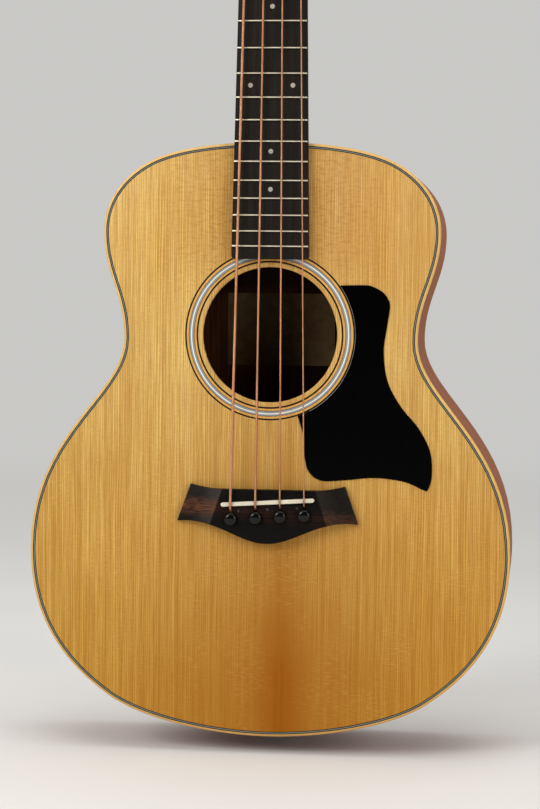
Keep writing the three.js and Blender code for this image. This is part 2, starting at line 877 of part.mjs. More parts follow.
// Fret wire: a crown with rounded shoulders over a narrow tang, bent to the board's camber
function makeFret(fret) {
  const y = fretPlace(fret);
  const half = boardHalf(y) - fretEndInset;
  const shoulder = crownWidth * crownShoulderShare;
  const section = [
    [-tangWidth / 2, -tangDepth],
    [tangWidth / 2, -tangDepth],
    [tangWidth / 2, 0],
    [crownWidth / 2, 0],
    [shoulder, crownHeight],
    [-shoulder, crownHeight],
    [-crownWidth / 2, 0],
    [-tangWidth / 2, 0],
  ];
  return loft(camberShares.map((share) => {
    const x = share * half;
    const seat = boardThickness + glueLine - camberDrop(x);
    return section.map(([across, up]) => new THREE.Vector3(x, y + across, seat + up));
  }));
}

// Height of a string's middle over the soundboard where it crosses the nut
function nutStringZ(index) {
  const x = stringX(index, nutStringSpread);
  return boardThickness + crownHeight + nutRise - camberDrop(x) + stringDiameters[index] / 2;
}

function makeNut() {
  const half = boardWidthAtNut / 2;
  const rise = boardThickness + crownHeight + nutRise + stringDiameters[0] / 2;
  const section = [[-half, glueLine], [half, glueLine]];
  for (const share of camberShares) section.push([-share * half, rise - camberDrop(share * half)]);
  const shape = polygon(section);
  const nut = prism(shape, restGap, nutThickness - restGap).rotateX(Math.PI / 2);
  nut.translate(0, scaleLength + nutThickness, 0);
  const slots = stringDiameters.map((diameter, index) => {
    const x = stringX(index, nutStringSpread);
    const z = nutStringZ(index);
    const stops = [
      new THREE.Vector3(x, scaleLength - overrun, z),
      new THREE.Vector3(x, scaleLength + nutThickness + overrun, z),
    ];
    return tubeAlong(stops, diameter / 2 + restGap, stringSides + 2);
  });
  return cut(nut, ...slots);
}

// The headstock's own frame starts at the nut's far face and leans back
const headMatrix = new THREE.Matrix4().makeRotationX(-headTilt).setPosition(0, headStartY, 0);

function headPoint(x, y, z) {
  return new THREE.Vector3(x, y, z).applyMatrix4(headMatrix);
}

// A round-backed section; a small roundness share makes it nearly square
function neckSection(half, depth, roundness, taper) {
  const ring = [];
  for (let step = 0; step <= neckSteps; step += 1) {
    const angle = (Math.PI * step) / neckSteps;
    const down = Math.sin(angle) ** roundness;
    const side = Math.sign(Math.cos(angle)) * Math.abs(Math.cos(angle)) ** roundness;
    const across = step * 2 === neckSteps ? 0 : side * half * (1 - taper * down);
    ring.push([across, step === 0 || step === neckSteps ? 0 : -down * depth]);
  }
  return ring;
}

function neckDepth(y) {
  return THREE.MathUtils.mapLinear(y, neckEndY, scaleLength, neckDepthAtHeel, neckDepthAtNut);
}

function makeNeck() {
  const startY = neckEndY + restGap;
  const rings = heelShares.map(([place, full]) => {
    const y = startY + place * heelLength;
    const depth = THREE.MathUtils.lerp(neckDepth(y), heelDepth, full);
    const roundness = THREE.MathUtils.lerp(roundSectionShare, heelSectionShare, full);
    const taper = full * (1 - heelFootWidth / (2 * boardHalf(y)));
    const section = neckSection(boardHalf(y), depth, roundness, taper);
    return section.map(([x, z]) => new THREE.Vector3(x, y, z));
  });
  for (const y of [scaleLength, headStartY]) {
    const section = neckSection(boardHalf(scaleLength), neckDepth(y), roundSectionShare, 0);
    rings.push(section.map(([x, z]) => new THREE.Vector3(x, y, z)));
  }
  const addHeadRing = (y, half, roundness) => {
    const section = neckSection(half, headThickness, roundness, 0);
    rings.push(section.map(([x, z]) => headPoint(x, y, z)));
  };
  for (const [place, width] of headOutlineShares) {
    const half = THREE.MathUtils.lerp(boardWidthAtNut, headWidth, width) / 2;
    addHeadRing(place * headLength, half, THREE.MathUtils.lerp(roundSectionShare, headSectionShare, width));
  }
  addHeadRing(headLength, headTipWidth / 2, headSectionShare);
  const channel = trussNutRadius + restGap;
  const channelTool = block(
    -channel, channel,
    neckEndY + trussHeelGap - restGap, scaleLength - trussHeadGap + restGap,
    -trussChannelDepth, overrun,
  );
  const holeRadius = postRadius + runningGap;
  const holes = postPlaces().map(({ x, y }) => (
    drill(holeRadius, -headThickness - overrun, overrun, postSides, x, y).applyMatrix4(headMatrix)
  ));
  return cut(loft(rings), channelTool, ...holes);
}

// Truss rod, let into the neck under the fretboard, with its nut at the body end
function makeTrussRod() {
  const length = scaleLength - trussHeadGap - neckEndY - trussHeelGap;
  const profile = [
    [0, 0],
    [trussNutRadius, 0],
    [trussNutRadius, trussNutLength],
    [trussRadius, trussNutLength],
    [trussRadius, length],
    [0, length],
  ];
  const middle = -trussChannelDepth + trussNutRadius + restGap;
  return turned(profile, keyShaftSides).translate(0, neckEndY + trussHeelGap, middle);
}

// Tuning machines: places of the posts, and heights behind the headstock
function postPlaces() {
  const across = postAcross / 2;
  return [
    { x: -across, y: firstPostY, side: -1 },
    { x: -across, y: firstPostY + postSpacing, side: -1 },
    { x: across, y: firstPostY + postSpacing, side: 1 },
    { x: across, y: firstPostY, side: 1 },
  ];
}

const toothPitch = (Math.PI * 2 * gearPitchRadius) / gearTeeth;
const wormOuterRadius = wormPitchRadius + toothAddendum;
const wormRootRadius = wormPitchRadius - toothDedendum;
const toothHalf = (toothPitch * toothThicknessShare) / 2;
const toothTipHalf = toothHalf - toothAddendum * Math.tan(flankAngle);
const toothRootHalf = toothHalf + toothDedendum * Math.tan(flankAngle);
const wormHalf = (toothPitch * (wormTurns + 1)) / 2;
const wormAway = gearPitchRadius + wormPitchRadius + meshGap;
const plateFrontZ = -headThickness - restGap;
const plateBackZ = plateFrontZ - machinePlateThickness;
const wormZ = plateBackZ - wormOuterRadius - restGap;
const earStart = wormHalf + runningGap;

// A screw thread as one skin round the x axis, its crest fading out at both ends
function wormGeometry() {
  const places = [];
  const corners = [];
  const index = [];
  const addPoint = (along, radius, angle) => {
    places.push(along, radius * Math.cos(angle), radius * Math.sin(angle));
    return places.length / 3 - 1;
  };
  const lead = (turn) => toothPitch * (turn - wormTurns / 2);
  for (let column = 0; column < wormColumns; column += 1) {
    const threads = column === 0 ? wormTurns + 1 : wormTurns;
    const angle = (Math.PI * 2 * column) / wormColumns;
    index.push([]);
    for (let thread = 0; thread < threads; thread += 1) {
      const turn = thread + column / wormColumns;
      const fade = THREE.MathUtils.clamp(Math.min(turn, wormTurns - turn) / wormFadeShare, 0, 1);
      const crest = THREE.MathUtils.lerp(wormRootRadius, wormOuterRadius, fade);
      index[column].push(addPoint(lead(turn) - toothRootHalf, wormRootRadius, angle));
      index[column].push(addPoint(lead(turn) - toothTipHalf, crest, angle));
      index[column].push(addPoint(lead(turn) + toothTipHalf, crest, angle));
      index[column].push(addPoint(lead(turn) + toothRootHalf, wormRootRadius, angle));
    }
  }
  const perThread = 4;
  const count = perThread * wormTurns;
  for (let column = 0; column < wormColumns; column += 1) {
    const wrap = column === wormColumns - 1;
    const here = index[column];
    const next = wrap ? index[0].slice(perThread) : index[column + 1];
    for (let i = 0; i < count - 1; i += 1) {
      corners.push(here[i], here[i + 1], next[i + 1], here[i], next[i + 1], next[i]);
    }
  }
  const first = addPoint(lead(0) - toothRootHalf, 0, 0);
  const last = addPoint(lead(wormTurns) + toothRootHalf, 0, 0);
  const startLoop = [...index.map((column) => column[0]), ...index[0].slice(1, perThread + 1).reverse()];
  const endLoop = [...index.map((column) => column[count - 1]), ...index[0].slice(count).reverse()];
  startLoop.forEach((point, i) => corners.push(first, point, startLoop[(i + 1) % startLoop.length]));
  endLoop.forEach((point, i) => corners.push(last, endLoop[(i + 1) % endLoop.length], point));
  const geometry = new THREE.BufferGeometry();
  geometry.setAttribute('position', new THREE.Float32BufferAttribute(places, 3));
  geometry.setIndex(corners);
  return geometry;
}

// The key turns about x: worm and shaft in the ears, and a button outside the headstock's edge
function makeKey(side) {
  const inner = earStart + earThickness + keyShaftEnd;
  const outer = headWidth / 2 - postAcross / 2 + buttonGap + buttonLength / 2;
  const shaft = new THREE.CylinderGeometry(keyShaftRadius, keyShaftRadius, inner + outer, keyShaftSides);
  shaft.rotateZ(Math.PI / 2).translate((side * (outer - inner)) / 2, 0, 0);
  const button = new THREE.ExtrudeGeometry(buttonShape(), {
    depth: buttonThickness - buttonEdge * 2,
    bevelThickness: buttonEdge,
    bevelSize: buttonEdge,
    bevelSegments: 1,
    curveSegments: stepsPerCurve,
  });
  button.translate(side * outer, 0, buttonEdge - buttonThickness / 2);
  return join(wormGeometry(), shaft, button);
}

function buttonShape() {
  const shape = new THREE.Shape();
  shape.absellipse(0, 0, buttonLength / 2 - buttonEdge, buttonWidth / 2 - buttonEdge, 0, Math.PI * 2, false);
  return shape;
}

// Gear wheel whose teeth lean to the worm's lead; a gap faces the worm at rest
function gearGeometry() {
  const slope = toothPitch / (Math.PI * 2 * wormPitchRadius);
  const ring = (z) => {
    const points = [];
    const twist = (slope * z) / gearPitchRadius;
    const corners = [
      [gearPitchRadius - toothDedendum, -toothRootHalf],
      [gearPitchRadius + toothAddendum, -toothTipHalf],
      [gearPitchRadius + toothAddendum, toothTipHalf],
      [gearPitchRadius - toothDedendum, toothRootHalf],
    ];
    for (let tooth = 0; tooth < gearTeeth; tooth += 1) {
      const middle = (Math.PI * 2 * (tooth + 1 / 2)) / gearTeeth - Math.PI / 2 + twist;
      for (const [radius, half] of corners) {
        const angle = middle + half / radius;
        points.push(new THREE.Vector3(radius * Math.cos(angle), radius * Math.sin(angle), z));
      }
    }
    return points;
  };
  return loft([ring(-gearThickness / 2), ring(gearThickness / 2)]).translate(0, 0, wormZ);
}

// String post with the gear on its lower end, and a rim at the top that keeps the turns on
function makePost() {
  const foot = wormZ - gearThickness / 2 - keyShaftEnd;
  const profile = [
    [0, foot],
    [keyShaftRadius, foot],
    [postRadius, foot + keyShaftEnd],
    [postRadius, postHeight - postRimHeight],
    [postTopRadius, postHeight - postRimHeight / 2],
    [postTopRadius * postCrownShare, postHeight],
    [0, postHeight],
  ];
  return join(turned(profile, postSides).rotateX(Math.PI / 2), gearGeometry());
}

// Base plate with two ears that carry the key's shaft
function makeMachinePlate() {
  const half = earStart + earThickness;
  const shape = new THREE.Shape();
  shape.moveTo(-half, -wormAway - earWidth / 2 - machinePlateMargin);
  shape.lineTo(half, -wormAway - earWidth / 2 - machinePlateMargin);
  shape.lineTo(half, 0);
  shape.absarc(0, 0, half, 0, Math.PI, false);
  const plate = prism(shape, plateBackZ, plateFrontZ);
  const ear = (side) => {
    const profile = new THREE.Shape();
    const rise = plateBackZ + machinePlateThickness / 2 - wormZ;
    profile.moveTo(-earWidth / 2, rise);
    profile.lineTo(-earWidth / 2, 0);
    profile.absarc(0, 0, earWidth / 2, Math.PI, Math.PI * 2, false);
    profile.lineTo(earWidth / 2, rise);
    const start = side === 1 ? earStart : -earStart - earThickness;
    const turn = new THREE.Matrix4().makeBasis(
      new THREE.Vector3(0, 1, 0),
      new THREE.Vector3(0, 0, 1),
      new THREE.Vector3(1, 0, 0),
    );
    return prism(profile, start, start + earThickness).applyMatrix4(turn).translate(0, -wormAway, wormZ);
  };
  const bore = new THREE.CylinderGeometry(
    keyShaftRadius + runningGap, keyShaftRadius + runningGap, half * 2 + overrun, keyShaftSides,
  );
  bore.rotateZ(Math.PI / 2).translate(0, -wormAway, wormZ);
  const holeRadius = postRadius + runningGap;
  const postHole = drill(holeRadius, plateBackZ - overrun, plateFrontZ + overrun, postSides, 0, 0);
  return cut(join(plate, ear(1), ear(-1)), bore, postHole);
}

// A string's path from the ball under the bridge to the turns on its post
function bridgeStops(index) {
  const x = bridgeStringX(index);
  const radius = stringDiameters[index] / 2;
  const dropY = pinY(x) + stringDropAhead;
  const ballZ = -topThickness - bridgePlateThickness - glueLine * 2 - restGap - ballRadius;
  const overZ = saddleTop + restGap + radius;
  return [
    new THREE.Vector3(x, dropY, ballZ),
    new THREE.Vector3(x, dropY, bridgeThickness - stringDiveDepth),
    new THREE.Vector3(x, pinY(x) + stringDiveAhead, bridgeThickness),
    new THREE.Vector3(x, saddleY(x) - saddleWidth / 2 - (restGap + radius) / 2, overZ),
    new THREE.Vector3(x, saddleY(x) + saddleWidth / 2, overZ),
  ];
}

function stringPassages() {
  return stringDiameters.map((diameter, index) => {
    const stops = bridgeStops(index).slice(0, -1);
    return tubeAlong(stops, diameter / 2 + restGap, stringSides + 2);
  });
}

function stringStops(index) {
  const radius = stringDiameters[index] / 2;
  const nutX = stringX(index, nutStringSpread);
  const nutZ = nutStringZ(index);
  const stops = bridgeStops(index);
  stops.push(new THREE.Vector3(nutX, scaleLength, nutZ));
  stops.push(new THREE.Vector3(nutX, headStartY, nutZ));
  const post = postPlaces()[index];
  const reach = postRadius + restGap + radius;
  const gap = Math.hypot(nutX - post.x, post.y);
  const toNut = Math.atan2(-post.y, nutX - post.x);
  const start = toNut - post.side * Math.acos(reach / gap);
  const turns = Math.round(stringTurns * turnSteps);
  const pitch = radius * 2 + turnGap;
  for (let step = 0; step <= turns; step += 1) {
    const angle = start - (post.side * Math.PI * 2 * step) / turnSteps;
    const z = windHeight - (pitch * step) / turnSteps;
    stops.push(headPoint(post.x + reach * Math.cos(angle), post.y + reach * Math.sin(angle), z));
  }
  return stops;
}

function makeString(index) {
  const stops = stringStops(index);
  const ball = new THREE.SphereGeometry(ballRadius, ballSides, ballSides / 2);
  ball.translate(stops[0].x, pinY(stops[0].x) + pinShankRadius + restGap + ballRadius, stops[0].z);
  return join(tubeAlong(stops, stringDiameters[index] / 2, stringSides), ball);
}

// End pin at the tail, for a strap and to plug the tail block's bore
const endPinZ = -depthAtTail / 2;

function endPinTool() {
  const radius = endPinShankRadius + restGap;
  const length = (tailBlockLength + sideThickness) * 2;
  return new THREE.CylinderGeometry(radius, radius, length, endPinSides).translate(0, tailY, endPinZ);
}

function makeEndPin() {
  const profile = [
    [0, -endPinReach],
    [endPinHeadRadius - endPinFlange / 4, -endPinReach],
    [endPinHeadRadius, endPinFlange / 2 - endPinReach],
    [endPinHeadRadius, endPinHeadThickness - endPinReach],
    [endPinNeckRadius, endPinHeadThickness * 2 - endPinReach],
    [endPinNeckRadius, -endPinFlange * 2],
    [endPinFlangeRadius, -endPinFlange],
    [endPinFlangeRadius, 0],
    [endPinShankRadius, 0],
    [endPinShankRadius, endPinShankLength],
    [0, endPinShankLength],
  ];
  return turned(profile, endPinSides).translate(0, tailY - restGap, endPinZ);
}

// Colours and finishes
const looks = {
  spruce: { color: 0xd6a55e, roughness: 0.42, metalness: 0 },
  sideWood: { color: 0x8c5834, roughness: 0.5, metalness: 0 },
  innerWood: { color: 0xc9a878, roughness: 0.8, metalness: 0 },
  neckWood: { color: 0x7a4a2e, roughness: 0.55, metalness: 0 },
  ebony: { color: 0x26201b, roughness: 0.55, metalness: 0 },
  ivory: { color: 0xe8dfc8, roughness: 0.4, metalness: 0 },
  blackPlastic: { color: 0x0a0a0a, roughness: 0.12, metalness: 0 },
  ringTrim: { color: 0x8f8d86, roughness: 0.4, metalness: 0 },
  fretWire: { color: 0xc9c3ae, roughness: 0.3, metalness: 1 },
  bronze: { color: 0xc98a62, roughness: 0.38, metalness: 1 },
  nickel: { color: 0xb9b9b6, roughness: 0.22, metalness: 1 },
  steel: { color: 0x8b8d8f, roughness: 0.4, metalness: 1 },
};

// Assembly
const instrument = new THREE.Group();
const head = new THREE.Group();
head.applyMatrix4(headMatrix);
instrument.add(head);

function addPiece(name, geometry, look, parent = instrument) {
  const mesh = new THREE.Mesh(tidySolid(geometry), new THREE.MeshStandardMaterial(looks[look]));
  mesh.name = name;
  parent.add(mesh);
  return mesh;
}

addPiece('soundboard', makeSoundboard(), 'spruce');
addPiece('back_plate', makeBack(), 'sideWood');
addPiece('side_rim', makeSideRim(), 'sideWood');
addPiece('top_lining_bass', makeTopLining(-1), 'innerWood');
addPiece('top_lining_treble', makeTopLining(1), 'innerWood');
addPiece('back_lining_bass', makeBackLining(-1), 'innerWood');
addPiece('back_lining_treble', makeBackLining(1), 'innerWood');
addPiece('neck_block', makeNeckBlock(), 'innerWood');
addPiece('tail_block', makeTailBlock(), 'innerWood');
addPiece('x_brace', makeXBrace(), 'innerWood');
addPiece('bridge_plate', makeBridgePlate(), 'innerWood');
addPiece('rosette', makeRosette(), 'ringTrim');
addPiece('pickguard', makePickguard(), 'blackPlastic');
addPiece('bridge', makeBridge(), 'ebony');
addPiece('saddle', makeSaddle(), 'ivory');
addPiece('neck', makeNeck(), 'neckWood');
addPiece('truss_rod', makeTrussRod(), 'steel');
addPiece('fretboard', makeFretboard(), 'ebony');
addPiece('nut', makeNut(), 'ivory');
addPiece('end_pin', makeEndPin(), 'blackPlastic');
for (let fret = 1; fret <= fretCount; fret += 1) {
  addPiece(`fret_${String(fret).padStart(2, '0')}`, makeFret(fret), 'fretWire');
}
stringNames.forEach((name, index) => {
  const post = postPlaces()[index];
  addPiece(`string_${name}`, makeString(index), 'bronze');
  addPiece(`bridge_pin_${name}`, makePin(index), 'blackPlastic');
  addPiece(`machine_plate_${name}`, makeMachinePlate(), 'nickel', head).position.set(post.x, post.y, 0);
  addPiece(`machine_post_${name}`, makePost(), 'nickel', head).position.set(post.x, post.y, 0);
  addPiece(`machine_key_${name}`, makeKey(post.side), 'nickel', head)
    .position.set(post.x, post.y - wormAway, wormZ);
});

// Stands the instrument up with its origin at the back of the neck, under the headstock
const yokeY = scaleLength - yokeDistance;
instrument.rotation.x = Math.PI / 2;
instrument.position.set(0, -neckDepth(yokeY), -yokeY);
const acousticBass = new THREE.Group();
acousticBass.add(instrument);

export default acousticBass;
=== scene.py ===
import math

import bmesh
import bpy
from mathutils import Matrix, Vector


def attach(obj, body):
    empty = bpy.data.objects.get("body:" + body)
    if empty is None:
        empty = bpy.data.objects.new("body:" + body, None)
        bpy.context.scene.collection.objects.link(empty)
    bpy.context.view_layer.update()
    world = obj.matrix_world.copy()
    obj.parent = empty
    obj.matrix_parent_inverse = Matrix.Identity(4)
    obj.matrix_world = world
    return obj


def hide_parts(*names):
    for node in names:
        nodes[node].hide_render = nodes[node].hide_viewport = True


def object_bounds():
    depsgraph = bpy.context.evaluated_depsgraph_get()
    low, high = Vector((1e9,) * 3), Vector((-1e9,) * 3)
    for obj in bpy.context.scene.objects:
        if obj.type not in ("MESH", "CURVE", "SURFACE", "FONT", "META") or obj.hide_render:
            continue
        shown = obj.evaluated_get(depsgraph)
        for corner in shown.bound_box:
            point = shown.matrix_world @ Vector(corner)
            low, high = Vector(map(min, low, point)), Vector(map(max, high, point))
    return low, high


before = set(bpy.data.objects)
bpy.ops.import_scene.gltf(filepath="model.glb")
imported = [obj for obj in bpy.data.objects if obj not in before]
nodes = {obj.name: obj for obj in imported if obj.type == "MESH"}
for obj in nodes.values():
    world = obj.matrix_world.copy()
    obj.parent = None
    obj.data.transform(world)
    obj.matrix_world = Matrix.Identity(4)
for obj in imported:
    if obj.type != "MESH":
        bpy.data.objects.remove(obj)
cad_low, cad_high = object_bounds()

BODY = "instrument"
YOKE_Y = 589.0
NECK_BACK = 15.5604
# Gaps of glued and of resting pieces
GLUE, REST = 0.05, 0.3
TOP_THICK, BACK_THICK, SIDE_THICK = 3.0, 2.8, 2.4
HOLE_Y, HOLE_R = 121.7, 50.8
HOLE_Z = HOLE_Y - YOKE_Y
# The rosette's channel, and where its rings are counted from
CHANNEL_IN, CHANNEL_OUT, RINGS_FROM = 54.25, 64.25, 54.0
# The inlaid lines' distances from the top's edge, and its rounding
LINES_FROM, LINES_TO, EDGE_ROUND = 1.95, 3.9, 1.6
SADDLE_X, SADDLE_Y, SADDLE_TOP = 0.8, -3.75, 10.9
SADDLE_SLANT = math.radians(3.8)
BRIDGE_TOP = 8.5
PIN_BEHIND = 11.2
# Middle of the bridge's two wings, and half the width between them
FACET_X, FACET_HALF = 1.3, 35.2


def W(x, y, z):
    return Vector((x, -z - NECK_BACK, y - YOKE_Y)) / 1000.0


def add_object(name, data):
    made = bpy.data.objects.new(name, data)
    bpy.context.scene.collection.objects.link(made)
    return made


# Camera. The columns are its right, up and back, and its place.
cam_data = bpy.data.cameras.new("camera")
cam = add_object("camera", cam_data)
cam.matrix_world = Matrix((
    (0.992565, -0.017830, 0.120406, 0.20433),
    (0.121164, 0.050393, -0.991353, -1.69131),
    (0.011608, 0.998570, 0.052179, -0.43138),
    (0, 0, 0, 1),
))
cam_data.sensor_width = 36
cam_data.lens = 100.09
cam_data.clip_start = 0.05
cam_data.clip_end = 60
bpy.context.scene.camera = cam


# Material tools
def srgb(r, g, b):
    def one(v):
        v /= 255.0
        return v / 12.92 if v <= 0.04045 else ((v + 0.055) / 1.055) ** 2.4
    return (one(r), one(g), one(b), 1.0)


def grey(v):
    return (v, v, v, 1.0)


class Nodes:
    """A node tree, with short calls for the nodes that are used here."""

    def __init__(self, tree):
        self.tree = tree
        self.spot = {}

    def find(self, kind):
        return next(n for n in self.tree.nodes if n.type == kind)

    def put(self, socket, value):
        if hasattr(value, "is_output"):
            self.tree.links.new(value, socket)
        else:
            socket.default_value = value

    def node(self, kind, sockets=(), **props):
        """Adds a node. Each socket, by name or number, gets a value or a link from an output."""
        made = self.tree.nodes.new("ShaderNode" + kind)
        for key, value in props.items():
            setattr(made, key, value)
        for key, value in dict(sockets).items():
            self.put(made.inputs[key], value)
        return made

    def coord(self, kind="Object"):
        if kind not in self.spot:
            self.spot[kind] = self.node("TexCoord").outputs[kind]
        return self.spot[kind]

    def math(self, operation, a, b=0.0):
        return self.node("Math", {0: a, 1: b}, operation=operation).outputs[0]

    def times(self, a, b):
        return self.math("MULTIPLY", a, b)

    def plus(self, a, b):
        return self.math("ADD", a, b)

    def minus(self, a, b):
        return self.math("SUBTRACT", a, b)

    def split(self, vector):
        return self.node("SeparateXYZ", {0: vector}).outputs

    def mm(self, axes="XYZ"):
        parts = self.split(self.coord())
        return [self.times(parts[axis], 1000.0) for axis in axes]

    def place(self, scale):
        return self.node("Mapping", {"Vector": self.coord(), "Scale": scale}).outputs[0]

    def noise(self, vector, scale=1.0, detail=3.0, rough=0.5, twist=0.0):
        return self.node("TexNoise", {
            "Vector": vector, "Scale": scale, "Detail": detail, "Roughness": rough,
            "Distortion": twist}).outputs["Fac"]

    def streaks(self, u, v, w, detail, rough, twist=0.0):
        """Noise over three values, each given plain or with its scale."""
        spots = [self.times(*value) if isinstance(value, tuple) else value for value in (u, v, w)]
        vector = self.node("CombineXYZ", enumerate(spots)).outputs[0]
        return self.noise(vector, 1.0, detail, rough, twist)

    def ramp(self, factor, stops, sharp=False):
        """Each stop is a place with red, green and blue up to 255, or with a ready colour."""
        made = self.node("ValToRGB", {0: factor})
        made.color_ramp.interpolation = "CONSTANT" if sharp else "LINEAR"
        points = made.color_ramp.elements
        while len(points) < len(stops):
            points.new(0.5)
        for point, stop in zip(points, stops):
            point.position = stop[0]
        for point, (_, *colour) in zip(points, stops):
            point.color = srgb(*colour) if len(colour) == 3 else colour[0]
        return made.outputs[0]

    def between(self, value, low, high):
        return self.ramp(value, [(0.0, grey(0)), (low, grey(1)), (high, grey(0))], sharp=True)

    def mix(self, factor, a, b):
        return self.node("Mix", {0: factor, 6: a, 7: b}, data_type="RGBA").outputs[2]

    def span(self, value, low, high, to_low=0.0, to_high=1.0, kind="LINEAR"):
        numbers = (value, low, high, to_low, to_high)
        return self.node("MapRange", enumerate(numbers), interpolation_type=kind).outputs[0]

    def output(self, kind, factor, first, second):
        """Mixes two shaders into the tree's output."""
        both = self.node("MixShader", {0: factor, 1: first, 2: second})
        self.put(self.find(kind).inputs["Surface"], both.outputs[0])


class Mat(Nodes):
    """A material and its main shader."""

    def __init__(self, name, shine=0.5, **settings):
        self.mat = bpy.data.materials.new(name)
        self.mat.use_nodes = True
        super().__init__(self.mat.node_tree)
        self.bsdf = self.find("BSDF_PRINCIPLED")
        for key, value in {"Specular_IOR_Level": shine, **settings}.items():
            self.bsdf.inputs[key.replace("_", " ")].default_value = value

    def colour(self, value):
        self.put(self.bsdf.inputs["Base Color"], value)

    def rough(self, value):
        self.put(self.bsdf.inputs["Roughness"], value)

    def bump(self, height, strength, distance):
        made = self.node("Bump", {"Strength": strength, "Distance": distance, "Height": height})
        self.put(self.bsdf.inputs["Normal"], made.outputs[0])


# Grain up the instrument, or along a piece's own unwrapped length
def grain_up(m):
    return m.mm("XZY")


def grain_unwrapped(m):
    u, v = m.split(m.coord("UV"))[:2]
    return m.times(v, 1000.0), m.times(u, 1000.0), 0.0


# Wood with its grain along the second of three values in millimetres
def wood(name, vector_of, light, dark, pores, streak=0.5, rough=0.42, shine=0.5):
    m = Mat(name, shine)
    light, dark = srgb(*light), srgb(*dark)
    across, along, deep = vector_of(m)
    broad = m.streaks((across, 0.045), (along, 0.004), (deep, 0.045), 4.0, 0.55, 0.6)
    fine = m.streaks((across, 0.5), (along, 0.012), (deep, 0.5), 5.0, 0.6, 0.2)
    hair = m.streaks((across, 3.2), (along, 0.09), (deep, 3.2), 2.0, 0.5)
    tone = m.plus(m.times(broad, 1.0 - streak), m.times(fine, streak))
    middle = tuple((a + b) / 2 for a, b in zip(light, dark))
    base = m.ramp(tone, [(0.3, dark), (0.5, middle), (0.68, light)])
    line = m.span(hair, 0.58, 0.7)
    m.colour(m.mix(m.times(line, 0.55), base, srgb(*pores)))
    m.rough(m.span(hair, 0.3, 0.7, rough - 0.06, rough + 0.12))
    m.bump(m.minus(fine, m.times(line, 0.6)), 0.22, 0.0003)
    return m.mat


# Inside of the back: bare dark wood, with painted shade that darkens it towards the neck block and the treble
# side
def back_inside_material():
    m = Mat("back_inside", 0.1, Roughness=0.8)
    x, z = m.mm("XZ")
    up = m.plus(z, YOKE_Y)
    line = m.streaks((x, 0.5), (z, 0.012), 0.0, 5.0, 0.6, 0.2)
    pore = m.streaks((x, 3.2), (z, 0.09), 2.0, 2.0, 0.5)
    base = m.ramp(line, [(0.3, 64, 34, 20), (0.5, 86, 48, 28), (0.7, 108, 64, 38)])
    base = m.mix(m.times(m.span(pore, 0.58, 0.7), 0.55), base, srgb(34, 18, 10))
    # Painted shade: near black above the label and towards the treble side
    deep = m.math("MAXIMUM", m.span(up, 142.0, 160.0), m.span(x, -24.0, 12.0))
    m.colour(m.mix(m.times(deep, 0.86), base, srgb(12, 7, 5)))
    m.bump(m.minus(line, pore), 0.2, 0.0003)
    return m.mat


